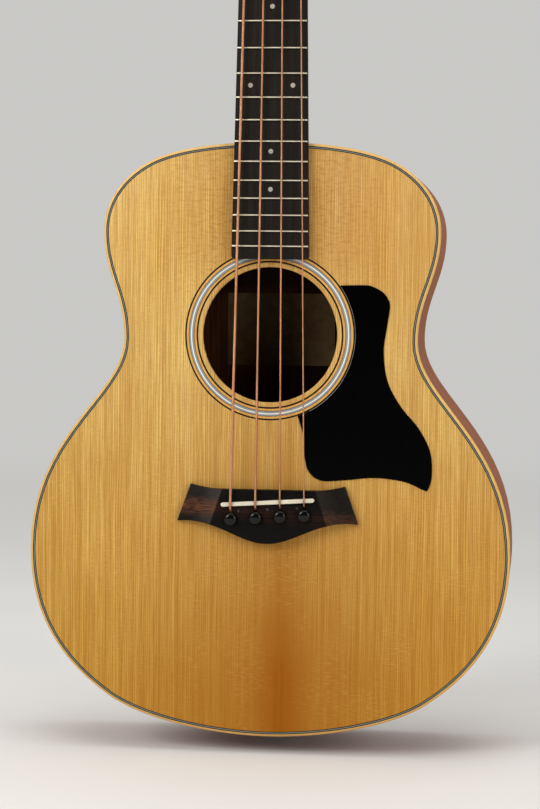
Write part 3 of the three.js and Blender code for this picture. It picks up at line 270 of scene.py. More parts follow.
# Spruce of the top: fine book-matched grain, cross flecks, broad bands and the inlaid edge lines
def spruce_material():
    m = Mat("spruce_top", 0.08, Coat_Weight=0.02, Coat_Roughness=0.3)
    x, z = m.mm("XZ")
    half = m.math("ABSOLUTE", m.minus(x, 0.5))
    drift = m.streaks((x, 0.02), (z, 0.0035), 0.0, 3.0, 0.5)
    across = m.plus(half, m.times(drift, 6.0))
    density = m.streaks((across, 0.035), (z, 0.0005), 3.0, 3.0, 0.6)
    year = m.plus(m.times(across, 0.6), m.times(density, 7.0))
    late = m.math("POWER", m.math("FRACT", year), 2.5)
    fibre = m.streaks((across, 1.3), (z, 0.02), 1.0, 4.0, 0.7)
    streak = m.streaks((across, 0.3), (z, 0.003), 4.0, 4.0, 0.7)
    bands = m.streaks((across, 0.05), (z, 0.002), 8.0, 3.0, 0.6)
    wide = m.streaks((x, 0.006), (z, 0.003), 5.0, 2.0, 0.5)
    fleck = m.streaks((x, 0.16), (z, 1.1), 2.0, 3.0, 0.6, 0.3)
    silk = m.streaks((x, 0.03), (z, 0.018), 7.0, 2.0, 0.5)
    tone = m.plus(m.times(bands, 0.6), m.times(wide, 0.4))
    base = m.ramp(tone, [(0.36, 231, 193, 114), (0.5, 240, 206, 131), (0.64, 246, 217, 148)])
    # Varnish amber and painted shade, both deepening towards the tail, most of all in a band just right of
    # the seam
    low = m.span(z, -330.0, -760.0)
    away = m.math("ABSOLUTE", m.minus(x, 11.0))
    middle = m.times(m.span(away, 3.0, 24.0, 1.12, 0.88), m.span(away, 24.0, 130.0, 1.0, 0.62))
    base = m.mix(m.span(z, HOLE_Z + 70.0, HOLE_Z - 30.0, 0.0, 0.6), base, srgb(250, 226, 156))
    base = m.mix(m.times(low, 0.66), base, srgb(232, 186, 20))
    amber_and_shade = m.math("POWER", m.math("MINIMUM", low, 0.92), 1.25)
    base = m.mix(m.times(amber_and_shade, middle), base, srgb(140, 74, 6))
    flank = m.times(m.span(x, 84.0, 116.0), m.span(z, -560.0, -630.0))
    base = m.mix(m.times(flank, 0.15), base, srgb(188, 106, 0))
    base = m.mix(m.times(late, 0.58), base, srgb(156, 94, 12))
    strong = m.span(low, 0.0, 1.0, 0.22, 0.46)
    base = m.mix(m.times(m.span(streak, 0.42, 0.58), strong), base, srgb(156, 92, 14))
    base = m.mix(m.span(fibre, 0.44, 0.6, 0.0, 0.42), base, srgb(156, 92, 10))
    mottle = m.streaks((x, 1.1), (z, 0.55), 13.0, 3.0, 0.7)
    base = m.mix(m.span(mottle, 0.46, 0.64, 0.0, 0.16), base, srgb(150, 92, 22))
    cross = m.times(m.span(fleck, 0.5, 0.68), m.span(silk, 0.4, 0.62, 0.1, 1.0))
    base = m.mix(m.times(cross, 0.14), base, srgb(244, 204, 120))
    # Painted shade beside the neck, where the fretboard's shadow falls, with a rippled figure
    board_shade = m.times(m.span(half, 92.0, 30.0), m.span(z, HOLE_Z + 10.0, HOLE_Z + 62.0))
    ripple = m.streaks((x, 0.15), (z, 0.5), 11.0, 4.0, 0.7)
    base = m.mix(m.times(board_shade, 0.3), base, srgb(152, 96, 34))
    # Painted shade across the treble side by the soundhole
    treble = m.times(m.span(x, 10.0, 60.0), m.span(z, HOLE_Z - 10.0, HOLE_Z + 40.0))
    base = m.mix(m.times(treble, 0.28), base, srgb(168, 106, 34))
    strong = m.span(board_shade, 0.0, 1.0, 0.08, 0.4)
    base = m.mix(m.times(m.span(ripple, 0.48, 0.62), strong), base, srgb(146, 86, 28))
    # Inlaid lines, placed by the distance from the edge that the mesh carries
    edge = m.times(m.node("Attribute", attribute_name="edge_mm").outputs["Fac"], 0.1)
    start = LINES_FROM / 10
    lines = m.between(edge, start, LINES_TO / 10)
    strip = m.ramp(edge, [(0.0, 40, 36, 31), (start, 18, 16, 14), (0.255, 112, 118, 112), (0.33, 18, 16, 14)],
                   sharp=True)
    rim = m.ramp(edge, [(0.0, grey(1)), (start, grey(0))], sharp=True)
    base = m.mix(m.times(rim, 0.45), base, srgb(232, 192, 122))
    m.colour(m.mix(lines, base, strip))
    m.rough(m.span(fibre, 0.3, 0.8, 0.36, 0.5))
    height = m.plus(m.times(late, -0.5), m.times(fibre, 0.5))
    m.bump(height, 0.2, 0.0002)
    return m.mat


# Rings of the rosette by their distance from the middle of the soundhole
def rosette_material():
    m = Mat("rosette_rings", 0.2, Coat_Weight=0.03, Coat_Roughness=0.25)
    x, z = m.mm("XZ")
    height = m.minus(z, HOLE_Z)
    radius = m.math("SQRT", m.plus(m.times(x, x), m.times(height, height)))
    fine = m.math("FRACT", m.times(m.minus(radius, 57.1), 1.43))
    share = m.times(m.minus(radius, RINGS_FROM), 0.1)
    grain = m.streaks((x, 1.6), (z, 0.05), 0.0, 4.0, 0.6)
    spruce = m.ramp(grain, [(0.3, 186, 122, 48), (0.7, 230, 178, 96)])
    band = m.ramp(share, [(0.0, 44, 48, 50), (0.355, 146, 151, 152), (0.69, 44, 48, 50)], True)
    fibre = m.mix(m.span(fine, 0.3, 0.7, 0.0, 0.4), band, srgb(96, 101, 102))
    base = m.mix(m.ramp(share, [(0.0, grey(0)), (0.03, grey(1)), (0.155, grey(0)), (0.9, grey(1))], True),
                 spruce, srgb(4, 4, 3))
    base = m.mix(m.between(share, 0.31, 0.735), base, fibre)
    m.colour(m.mix(m.between(share, 0.5, 0.578), base, srgb(236, 230, 212)))
    m.rough(m.span(grain, 0.3, 0.7, 0.3, 0.42))
    m.bump(m.plus(grain, m.times(fine, 0.2)), 0.12, 0.0002)
    return m.mat


# Dark bridge wood, near black in the middle and greyer on the wings beyond the facet's edge; painted
# highlight in their scoop
def bridge_material():
    m = Mat("bridge_wood", 0.08)
    x, y, z = m.mm()
    line = m.streaks((z, 0.9), (x, 0.02), (y, 0.9), 5.0, 0.65)
    pore = m.streaks((z, 3.0), (x, 0.12), 2.0, 3.0, 0.6)
    up = m.plus(z, YOKE_Y)
    facet = m.minus(m.math("ABSOLUTE", m.minus(x, FACET_X)),
                    m.plus(m.times(m.minus(5.4, up), 0.336), FACET_HALF))
    wing = m.span(facet, -0.4, 0.6)
    middle = m.ramp(line, [(0.3, 6, 5, 4), (0.55, 12, 9, 7), (0.75, 22, 14, 9)])
    outer = m.ramp(line, [(0.3, 13, 10, 8), (0.55, 25, 20, 15), (0.75, 38, 27, 19)])
    run = m.math("ABSOLUTE", m.plus(m.plus(up, 12.5), m.times(x, 0.09)))
    red = m.times(m.span(run, 8.5, 1.5), m.span(line, 0.4, 0.58, 0.15, 1.0))
    red = m.times(red, m.span(x, 10.0, 55.0, 1.0, 0.45))
    middle = m.mix(m.times(red, 0.8), middle, srgb(44, 22, 12))
    # Painted highlight along the wings' scoop, stronger on the bass wing
    scoop_highlight = m.times(m.span(facet, 15.0, 1.0), m.span(x, -10.0, 10.0, 0.62, 0.2))
    outer = m.mix(scoop_highlight, outer, srgb(62, 57, 50))
    outer = m.mix(m.times(red, 0.92), outer, srgb(98, 60, 40))
    base = m.mix(wing, middle, outer)
    m.colour(m.mix(m.span(pore, 0.58, 0.7, 0.0, 0.6), base, srgb(7, 5, 4)))
    m.rough(m.span(pore, 0.3, 0.7, 0.38, 0.55))
    m.bump(m.minus(line, m.times(pore, 0.4)), 0.2, 0.0003)
    return m.mat


# Smooth hard materials with small scratches and uneven gloss
def hard(name, low, high, rough, metallic=0.0, scratch=0.15, size=0.4, stretch=(1, 1, 1), shine=0.5):
    m = Mat(name, shine, Metallic=metallic)
    spots = m.place(tuple(1000.0 * size * s for s in stretch))
    cloud = m.noise(spots, 0.25, 3.0, 0.5)
    fine = m.noise(spots, 3.0, 4.0, 0.65)
    m.colour(m.ramp(m.plus(m.times(cloud, 0.6), m.times(fine, 0.4)),
                    [(0.35, *low), (0.65, *high)]))
    m.rough(m.span(fine, 0.3, 0.7, rough * 0.8, rough * 1.3))
    m.bump(fine, scratch, 0.0001)
    return m.mat


# Old paper with a painted shadow of the neck across its middle, soft blotches and a fine fibre
def label_material():
    m = Mat("label_paper", 0.1, Roughness=0.85)
    x = m.mm("X")[0]
    blotch = m.noise(m.place((110, 110, 110)), 1.0, 4.0, 0.6)
    fibre = m.noise(m.place((1400, 1400, 1400)), 1.0, 2.0, 0.5)
    # Painted shadow of the neck: the paper darkens towards its middle
    neck_shadow = m.span(m.math("ABSOLUTE", m.plus(x, 6.0)), 12.0, 42.0, 1.0, 0.0)
    lit_paper = m.ramp(blotch, [(0.35, 122, 98, 66), (0.65, 140, 115, 80)])
    shadowed_paper = m.ramp(blotch, [(0.35, 62, 49, 31), (0.65, 76, 61, 41)])
    m.colour(m.mix(m.span(fibre, 0.4, 0.7, 0.0, 0.12), m.mix(neck_shadow, lit_paper, shadowed_paper), srgb(52, 40, 26)))
    m.bump(fibre, 0.2, 0.0002)
    return m.mat


# Fret wire: painted highlight along its crest and at its ends, painted shade down its flanks, glossier where
# highlighted
def fret_material():
    m = Mat("fret_wire", 0.4, Metallic=0.55)
    facing = m.split(m.coord("Normal"))
    wear = m.noise(m.place((300, 900, 900)), 1.0, 3.0, 0.5)
    crest = m.span(m.math("ABSOLUTE", facing["Z"]), 0.34, 0.17)
    end = m.span(m.math("ABSOLUTE", facing["X"]), 0.25, 0.5)
    highlight_mask = m.math("MAXIMUM", crest, end)
    # Lit and shaded copies of the metal, picked by the surface's facing
    crest_highlight = m.ramp(wear, [(0.3, 220, 208, 180), (0.7, 244, 234, 208)])
    flank = m.ramp(wear, [(0.3, 20, 17, 14), (0.7, 36, 31, 26)])
    m.colour(m.mix(highlight_mask, flank, crest_highlight))
    m.rough(m.mix(highlight_mask, grey(0.5), grey(0.42)))
    m.bump(wear, 0.02, 0.0001)
    return m.mat


# Wound string: a copper-coloured wrap whose turns show as a fine twisted pitch, with painted shade in the
# grooves
def string_material():
    m = Mat("wound_bronze", Metallic=1.0)
    pitch = 0.45
    u, v = m.split(m.coord("UV"))[:2]
    turn = m.math("FRACT", m.plus(m.times(u, 1000.0 / pitch), v))
    ridge = m.math("SINE", m.times(turn, math.pi))
    age = m.noise(m.place((60, 60, 25)), 1.0, 3.0, 0.5)
    base = m.ramp(age, [(0.35, 180, 126, 92), (0.65, 206, 150, 114)])
    # Painted shade darkens the grooves between the turns
    m.colour(m.mix(m.span(ridge, 0.0, 0.45, 0.6, 0.0), base, srgb(96, 58, 36)))
    m.rough(m.span(age, 0.3, 0.7, 0.3, 0.42))
    m.bump(ridge, 0.6, 0.0001)
    return m.mat


spruce = spruce_material()
rosette_look = rosette_material()
side_wood = wood("side_wood", grain_unwrapped, (166, 94, 44), (118, 64, 26), (70, 34, 12), shine=0.03)
back_wood = wood("back_wood", grain_up, (166, 102, 56), (114, 64, 32), (62, 31, 14), shine=0.12)
neck_wood = wood("neck_wood", grain_up, (138, 82, 44), (98, 55, 28), (50, 26, 13), shine=0.12)
back_inside = back_inside_material()
inner_wood = wood("inner_wood", grain_up, (214, 178, 124), (180, 138, 88), (126, 88, 50), rough=0.7)
board_wood = wood("board_wood", grain_up, (38, 30, 22), (13, 11, 9), (4, 4, 3), 0.7, 0.5, shine=0.13)
bridge_wood = bridge_material()
ivory = hard("ivory_trim", (200, 192, 168), (220, 212, 190), 0.32, scratch=0.08)
black_gloss = hard("black_gloss", (2, 2, 2), (3, 3, 3), 0.14, scratch=0.02, shine=0.03)
# Light grey for a painted highlight on the pickguard's bevel along the rosette
guard_edge_highlight = hard("guard_edge_highlight", (112, 109, 100), (140, 137, 126), 0.25, scratch=0.02, shine=0.3)
pin_black = hard("pin_black", (6, 6, 5), (11, 11, 10), 0.12, scratch=0.03, shine=0.24)
nickel = hard("nickel", (128, 126, 121), (152, 149, 143), 0.44, metallic=1.0, scratch=0.1, size=0.8)
fret_wire = fret_material()
screw_steel = hard("screw_steel", (52, 50, 47), (84, 82, 78), 0.3, metallic=1.0, scratch=0.05)
steel = hard("steel", (120, 120, 122), (160, 160, 162), 0.35, metallic=1.0, stretch=(3, 3, 0.3))
pearl = hard("dot_white", (150, 142, 130), (194, 186, 172), 0.25, scratch=0.05, size=1.0)
paper = label_material()
paper_ink = hard("label_rule", (34, 18, 13), (46, 24, 17), 0.7, scratch=0.2, size=1.2, shine=0.1)
bronze = string_material()


# Mesh tools
def new_mesh(name, points, faces):
    mesh = bpy.data.meshes.new(name)
    mesh.from_pydata(points, [], faces)
    return mesh


def face_outward(mesh):
    shell = bmesh.new()
    shell.from_mesh(mesh)
    bmesh.ops.recalc_face_normals(shell, faces=shell.faces)
    shell.to_mesh(mesh)
    shell.free()


def polar(x, y, radius, angle):
    return (x + radius * math.cos(angle), y + radius * math.sin(angle))


def circle(radius, sides):
    return [polar(0, 0, radius, 2 * math.pi * i / sides) for i in range(sides)]


# Skins rings of points. Open rows get a cap at each end, and a hard ring is doubled for a sharp edge.
def skin(name, rings, look, closed=False, hard_rings=(), edges=None, slot=None, body=BODY, stands_for=None):
    count = len(rings[0])
    rows = sorted([*range(len(rings)), *hard_rings])
    points = [p for i in rows for p in rings[i]]
    faces, spots = [], []
    around, along = [0.0], [0.0]
    for i in range(count):
        around.append(around[-1] + (rings[0][(i + 1) % count] - rings[0][i]).length)
    for a, b in zip(rings, rings[1:]):
        along.append(along[-1] + (b[0] - a[0]).length)
    for band in range(len(rows) if closed else len(rows) - 1):
        after = (band + 1) % len(rows)
        if rows[band] == rows[after]:
            continue
        low = along[rows[band]]
        high = along[rows[after]] if after else low + (rings[rows[after]][0] - rings[rows[band]][0]).length
        for i in range(count):
            j = (i + 1) % count
            faces.append((band * count + i, band * count + j, after * count + j, after * count + i))
            spots += [(around[i], low), (around[i + 1], low), (around[i + 1], high), (around[i], high)]
    smooth = len(faces)
    if not closed:
        for cap in (range(count - 1, -1, -1), range(len(points) - count, len(points))):
            faces.append(tuple(cap))
            spots += [(points[i].x, points[i].z) for i in cap]
    mesh = new_mesh(name, points, faces)
    layer = mesh.uv_layers.new(name="UVMap")
    for loop, spot in zip(layer.data, spots):
        loop.uv = spot
    if edges:
        data = mesh.attributes.new("edge_mm", "FLOAT", "POINT")
        data.data.foreach_set("value", [edges[i] for i in rows for _ in range(count)])
    mesh.polygons.foreach_set("use_smooth", [i < smooth for i in range(len(faces))])
    mesh.materials.append(look)
    made = add_object(name, mesh)
    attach(made, body)
    if stands_for:
        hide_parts(stands_for)
    face_outward(mesh)
    return made


def turned(name, profile, place, look, sides=32, **kind):
    rings = [[place(a, b, height) for a, b in circle(radius, sides)] for radius, height in profile]
    return skin(name, rings, look, **kind)


# Stands a turned profile at a point, its height counted up or, with way -1, down
def at(x, y, z=0.0, place=W, way=1):
    return lambda a, b, h: place(x + a, y + b, z + way * h)


def tube(name, stops, radius, look, sides=14, **kind):
    rings, lengths = [], [0.0]
    side = None
    for i, stop in enumerate(stops):
        before, after = stops[max(0, i - 1)], stops[min(len(stops) - 1, i + 1)]
        along = (after - before).normalized()
        side = (side - along * side.dot(along)).normalized() if side else along.orthogonal().normalized()
        over = along.cross(side)
        rings.append([stop + a * side + b * over for a, b in circle(radius, sides)])
        if i:
            lengths.append(lengths[-1] + (stop - stops[i - 1]).length)
    made = skin(name, rings, look, **kind)
    layer = made.data.uv_layers["UVMap"].data
    for face in made.data.polygons:
        if len(face.loop_indices) != 4:
            continue
        for loop in face.loop_indices:
            row, column = divmod(made.data.loops[loop].vertex_index, sides)
            turn = 1.0 if column == 0 and face.index % sides == sides - 1 else column / sides
            layer[loop].uv = (lengths[row], turn)


def ease_edges(made, width, degrees):
    bevel = made.modifiers.new("eased", "BEVEL")
    bevel.width = width
    bevel.segments = 2
    bevel.limit_method = "ANGLE"
    bevel.angle_limit = math.radians(degrees)


# Keeps a CAD node's shape, with its edges eased and a better material
def soften(node, look, width):
    made = nodes[node]
    made.data.materials.clear()
    made.data.materials.append(look)
    ease_edges(made, width, 40)


# Closed solids through rings of points, for carving
def loft_object(rings):
    count = len(rings[0])
    verts = [p for ring in rings for p in ring]
    faces = [tuple(reversed(range(count))), tuple(range(len(verts) - count, len(verts)))]
    for a in range(0, len(verts) - count, count):
        b = a + count
        faces += [(a + i, a + (i + 1) % count, b + (i + 1) % count, b + i) for i in range(count)]
    mesh = new_mesh("tool", verts, faces)
    face_outward(mesh)
    return add_object("tool", mesh)


def prism_object(points, low, high, place=W):
    return loft_object([[place(x, y, z) for x, y in points] for z in (low, high)])


def disc_tool(radius, x, y, low, high, sides=28, place=W):
    return prism_object([(x + a, y + b) for a, b in circle(radius, sides)], low, high, place)


def carve(target, tools, bevel=0.0003):
    for tool in tools:
        step = target.modifiers.new("cut", "BOOLEAN")
        step.operation = "DIFFERENCE"
        step.solver = "EXACT"
        step.object = tool
    if bevel:
        ease_edges(target, bevel, 20)
    bpy.context.view_layer.update()
    graph = bpy.context.evaluated_depsgraph_get()
    mesh = bpy.data.meshes.new_from_object(target.evaluated_get(graph))
    for spent in (*tools, target):
        bpy.data.objects.remove(spent)
    return mesh


def adopt(name, mesh, look, stands_for):
    mesh.materials.clear()
    mesh.materials.append(look)
    made = add_object(name, mesh)
    mesh.polygons.foreach_set("use_smooth", [True] * len(mesh.polygons))
    mesh.set_sharp_from_angle(angle=math.radians(38))
    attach(made, BODY)
    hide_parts(stands_for)


def cubic(a, b, c, d, t):
    s = 1 - t
    return tuple(s ** 3 * p + 3 * s * s * t * q + 3 * s * t * t * r + t ** 3 * w
                 for p, q, r, w in zip(a, b, c, d))


def bezier(a, b, c, d, steps):
    return [cubic(a, b, c, d, i / steps) for i in range(1, steps + 1)]


def catmull(points, steps):
    out = []
    for i in range(len(points) - 1):
        a = points[max(i - 1, 0)]
        b, c = points[i], points[i + 1]
        d = points[min(i + 2, len(points) - 1)]
        for step in range(steps):
            t = step / steps
            out.append(tuple(0.5 * (2 * q + (r - p) * t + (2 * p - 5 * q + 4 * r - s) * t * t
                                    + (3 * q - p - 3 * r + s) * t ** 3)
                             for p, q, r, s in zip(a, b, c, d)))
    out.append(points[-1])
    return out


# Body outline: the right half as a chain of curves
SCALE = 597.0
NUT = 5.0
TAIL = -182.6
JOIN_Y = SCALE * 2 ** (-14 / 12)
LOW_W, WAIST_W, UP_W = 364.6, 222.0, 254.4
LOW_H, WAIST_H, UP_H = 139.8, 300.4, 381.4
HANDLES = [(0.352, 0.244), (0.402, 0.365), (0.5, 0.245), (0.401, 0.396), (0.384, 0.347), (0.254, 0.355)]
KNOTS = [
    (0.0, TAIL, 0.0),
    (0.664 * LOW_W / 2, TAIL + 0.198 * LOW_H, math.radians(34.2)),
    (LOW_W / 2, TAIL + LOW_H, math.pi / 2),
    (WAIST_W / 2, TAIL + WAIST_H, math.pi / 2),
    (UP_W / 2, TAIL + UP_H, math.pi / 2),
    (0.73 * UP_W / 2, TAIL + UP_H + 0.777 * (JOIN_Y - TAIL - UP_H), math.radians(151.8)),
    (0.0, JOIN_Y, math.pi),
]
STEPS = 20
TAIL_DEEP, NECK_DEEP = 110.0, 95.0
# Rise of the back's arch, and where along the body it is highest
ARCH, ARCH_Y = 3.0, TAIL + (JOIN_Y - TAIL) * 0.45


def half_outline(inset):
    points = []
    for index, (leave, arrive) in enumerate(HANDLES):
        (ax, ay, ah), (dx, dy, dh) = KNOTS[index], KNOTS[index + 1]
        chord = math.hypot(dx - ax, dy - ay)
        bx, by = polar(ax, ay, leave * chord, ah)
        cx, cy = polar(dx, dy, -arrive * chord, dh)
        for step in range(0 if index == 0 else 1, STEPS + 1):
            t = step / STEPS
            s = 1 - t
            x, y = cubic((ax, ay), (bx, by), (cx, cy), (dx, dy), t)
            tx = s * s * (bx - ax) + 2 * s * t * (cx - bx) + t * t * (dx - cx)
            ty = s * s * (by - ay) + 2 * s * t * (cy - by) + t * t * (dy - cy)
            size = math.hypot(tx, ty)
            points.append((x - ty / size * inset, y + tx / size * inset))
    points[0] = (0.0, points[0][1])
    points[-1] = (0.0, points[-1][1])
    return points


def body_points(inset):
    half = half_outline(inset)
    return half + [(-x, y) for x, y in reversed(half[1:-1])]


def body_ring(inset, height):
    return [W(x, y, height(y) if callable(height) else height) for x, y in body_points(inset)]


def depth_at(y):
    return TAIL_DEEP + (NECK_DEEP - TAIL_DEEP) * (y - TAIL) / (JOIN_Y - TAIL)


# Outer face of the back, at a share of the way from the arch's highest point to the edge
def back_z(y, share):
    return -depth_at(y) - ARCH * (1 - share * share)


# Soundboard with a rounded edge, inlaid lines near it and a channel for the rosette
def make_top():
    angles = [math.atan2(y - HOLE_Y, x) for x, y in body_points(0)]
    rings, edges = [body_ring(0, -TOP_THICK), body_ring(0, -EDGE_ROUND)], [0.0, 0.0]
    for step in range(1, 6):
        a = math.pi / 2 * step / 5
        inset = EDGE_ROUND * (1 - math.cos(a))
        rings.append(body_ring(inset, -EDGE_ROUND * (1 - math.sin(a))))
        edges.append(inset)
    for inset in (LINES_FROM, LINES_TO, 8.0):
        rings.append(body_ring(inset, 0.0))
        edges.append(inset)
    for radius, z in ((CHANNEL_OUT, 0), (CHANNEL_OUT, -1.45), (CHANNEL_IN, -1.45), (CHANNEL_IN, 0),
                      (HOLE_R + 0.4, 0), (HOLE_R, -0.4), (HOLE_R, -TOP_THICK)):
        rings.append([W(*polar(0, HOLE_Y, radius, a), z) for a in angles])
        edges.append(9.9)
    last = len(rings) - 1
    skin("top_skin", rings, spruce, closed=True, edges=edges, slot="top_wood",
         hard_rings=(0, *range(last - 6, last - 2), last), stands_for="soundboard")


make_top()


ROSETTE = [(CHANNEL_IN + GLUE, -1.4), (CHANNEL_OUT - GLUE, -1.4), (CHANNEL_OUT - GLUE, 0.02),
           (CHANNEL_IN + GLUE, 0.02)]
turned("rosette_ring", ROSETTE, at(0, HOLE_Y), rosette_look, sides=160, closed=True, hard_rings=range(4),
       slot="ring_trim", stands_for="rosette")


# Side wall. It has no hole at the tail, because the end pin covers that place.
def make_side():
    def low(y):
        return BACK_THICK - depth_at(y) + GLUE

    high = -TOP_THICK - GLUE
    rings = [body_ring(0, high), body_ring(0, low), body_ring(SIDE_THICK, low), body_ring(SIDE_THICK, high)]
    skin("side_wall", rings, side_wood, closed=True, hard_rings=range(4), slot="side_wood",
         stands_for="side_rim")


make_side()


# Back, pressed to a low arch with an eased edge
def make_back():
    def arch(share, lift):
        ring = []
        for x, y in body_points(0):
            y = ARCH_Y + (y - ARCH_Y) * share
            ring.append(W(x * share, y, back_z(y, share) + lift))
        return ring

    shares = [0.02, 0.15, 0.3, 0.45, 0.6, 0.75, 0.87, 0.95, 0.992]
    outside = [arch(share, 0.0) for share in shares] + [arch(1.0, 0.7)]
    inside = [arch(share, BACK_THICK) for share in (1.0, *reversed(shares))]
    made = skin("back_skin", outside + inside, back_wood, hard_rings=(len(outside),), slot="side_wood",
                stands_for="back_plate")
    made.data.materials.append(back_inside)
    first = (len(outside) + 1) * len(outside[0])
    outer_cap = len(made.data.polygons) - 2
    for face in made.data.polygons:
        if face.index >= first and face.index != outer_cap:
            face.material_index = 1


make_back()


# Seam strip down the middle of the back, set flush
def make_back_strip():
    rings, count = [], 24
    half, sunk, proud = 2.0, 0.6, 0.008
    for i in range(count + 1):
        y = TAIL + 2.5 + (JOIN_Y - TAIL - 5.0) * i / count
        reach = JOIN_Y - ARCH_Y if y > ARCH_Y else ARCH_Y - TAIL
        z = back_z(y, abs(y - ARCH_Y) / reach)
        rings.append([W(x, y, z + lift) for x, lift in (
            (-half, sunk), (half, sunk), (half, -proud), (-half, -proud))])
    skin("back_strip", rings, board_wood, slot="dark_wood")


make_back_strip()


def saddle_y(x):
    return SADDLE_Y + (x - SADDLE_X) * math.tan(SADDLE_SLANT)


def pin_y(x):
    return saddle_y(x) - PIN_BEHIND


STRINGS = [("e", 2.1), ("a", 1.7), ("d", 1.35), ("g", 1.1)]


# Even gaps between the strings, which are centred on the saddle at the bridge
def string_x(index, spread):
    sizes = [size for _, size in STRINGS]

    def taken(end):
        return sum(sizes[:end + 1]) - (sizes[0] + sizes[end]) / 2
    return taken(index) + (spread - taken(3)) * index / 3 - spread / 2

def bridge_x(index):
    return SADDLE_X + string_x(index, 55.4)


def slot_points(length, width, steps=10):
    radius = width / 2
    c, s = math.cos(SADDLE_SLANT), math.sin(SADDLE_SLANT)
    out = []
    for end in (0, 1):
        for step in range(steps + 1):
            a = math.pi * (end - 0.5 + step / steps)
            x = (1 - 2 * end) * (length / 2 - radius) + radius * math.cos(a)
            y = radius * math.sin(a)
            out.append((SADDLE_X + x * c - y * s, SADDLE_Y + x * s + y * c))
    return out


SET_SCREWS = [(-21.1, -10.7), (0.8, -9.0), (22.9, -7.8)]


# Bridge: its outline is cut by a wedge at each end, then slotted and drilled
def make_bridge():
    top_x, foot_x, waist_x = 58.4, 68.4, 38.0
    top_y, foot_y, waist_y, back_y = 8.7, -19.3, 5.4, -35
    hollow_x = top_x + (waist_x - top_x) * 0.63
    rise_y = back_y + (foot_y - back_y) * 1.24
    curve = [(foot_x * 0.32, back_y), (foot_x * 0.555, rise_y), (foot_x, foot_y)]
    mirrored = [(-x, y) for x, y in reversed(curve)]
    points = [mirrored[0], *bezier(*mirrored, (0, back_y), 22), *bezier((0, back_y), *curve, 22)]
    wing = []
    for i in range(13):
        t = i / 12
        s = 1 - t
        wing.append((s * s * top_x + 2 * s * t * hollow_x + t * t * waist_x,
                     s * s * top_y + (2 * s * t + t * t) * waist_y))
    points += wing + [(-x, y) for x, y in reversed(wing)]
    block = prism_object(points, GLUE, BRIDGE_TOP)
    tools = []
    reach, wing_top, clear = 58.4, 3.6, 12
    for side in (1, -1):
        inner = Vector((FACET_X + side * FACET_HALF, waist_y, BRIDGE_TOP))
        outer = Vector((FACET_X + side * 43.5, foot_y, BRIDGE_TOP))
        along = (outer - inner).normalized()
        away = Vector((-along.y * side, along.x * side, 0))
        run = (Vector((side * foot_x, foot_y, BRIDGE_TOP)) - outer).dot(away)
        fall = Vector((0, 0, (BRIDGE_TOP - wing_top) / run * reach))
        above = Vector((0, 0, 2))
        ends = []
        for distance in (-reach, 2 * reach):
            start = inner + along * distance
            far = start + away * reach
            ends.append([W(*p) for p in (start, far - fall, far + above, start + above)])
        tools.append(loft_object(ends))
    tools.append(prism_object(slot_points(71.0, 3.4), 3.5, clear))
    for index in range(4):
        x = bridge_x(index)
        y = pin_y(x)
        tools.append(disc_tool(2.8, x, y, -1, clear))
        notch = [(x - 1.35, y), (x + 1.35, y), (x + 1.0, y + 6.6), (x - 1.0, y + 6.6)]
        tools.append(prism_object(notch, 5.4, clear))
    for x, y in SET_SCREWS:
        tools.append(disc_tool(1.5, x, y, 7.3, clear, 20))
    adopt("bridge_body", carve(block, tools), bridge_wood, "bridge")


make_bridge()


def make_saddle():
    sizes = ((70.7, 3.1, 3.8), (70.7, 3.1, 10.3), (70.35, 2.75, 10.72), (69.5, 1.9, SADDLE_TOP))
    rings = [[W(x, y, z) for x, y in slot_points(length, width)] for length, width, z in sizes]
    skin("saddle_bar", rings, ivory, slot="ivory_trim", stands_for="saddle")
    profile = [(0.55, 7.5), (0.6, 8.1), (1.1, 8.1), (1.3, 7.9), (1.3, 7.35)]
    for index, (x, y) in enumerate(SET_SCREWS):
        turned(f"set_screw_{index + 1}", profile, at(x, y), screw_steel, sides=12, slot="rod_steel")


make_saddle()


PIN = [(1.9, -23), (2.0, -22.6), (2.5, 0.0), (2.5, 0.3), (3.6, 0.3), (4.5, 0.9), (4.86, 1.5), (4.9, 1.9),
       (4.75, 2.5), (4.3, 3.2), (3.5, 3.75), (2.4, 4.05), (1.2, 4.17), (0.15, 4.2)]
for index, (name, _) in enumerate(STRINGS):
    x = bridge_x(index)
    turned(f"pin_{name}", PIN, at(x, pin_y(x), BRIDGE_TOP), pin_black, slot="black_plastic",
           stands_for=f"bridge_pin_{name}")


# Pickguard: a smooth curve through its knots, with an eased edge, up against the rosette's rim
GUARD = [(0.302, 0.999), (0.493, 1), (0.556, 0.99), (0.62, 0.966), (0.66, 0.932), (0.673, 0.89),
         (0.65, 0.785), (0.631, 0.675), (0.662, 0.533), (0.76, 0.411), (0.896, 0.304), (0.984, 0.191),
         (1, 0.073), (0.973, 0.005), (0.94, 0.001), (0.794, 0.04), (0.576, 0.056), (0.359, 0.042),
         (0.179, 0.037), (0.089, 0.077), (0.055, 0.144), (0.042, 0.254), (0.007, 0.334)]


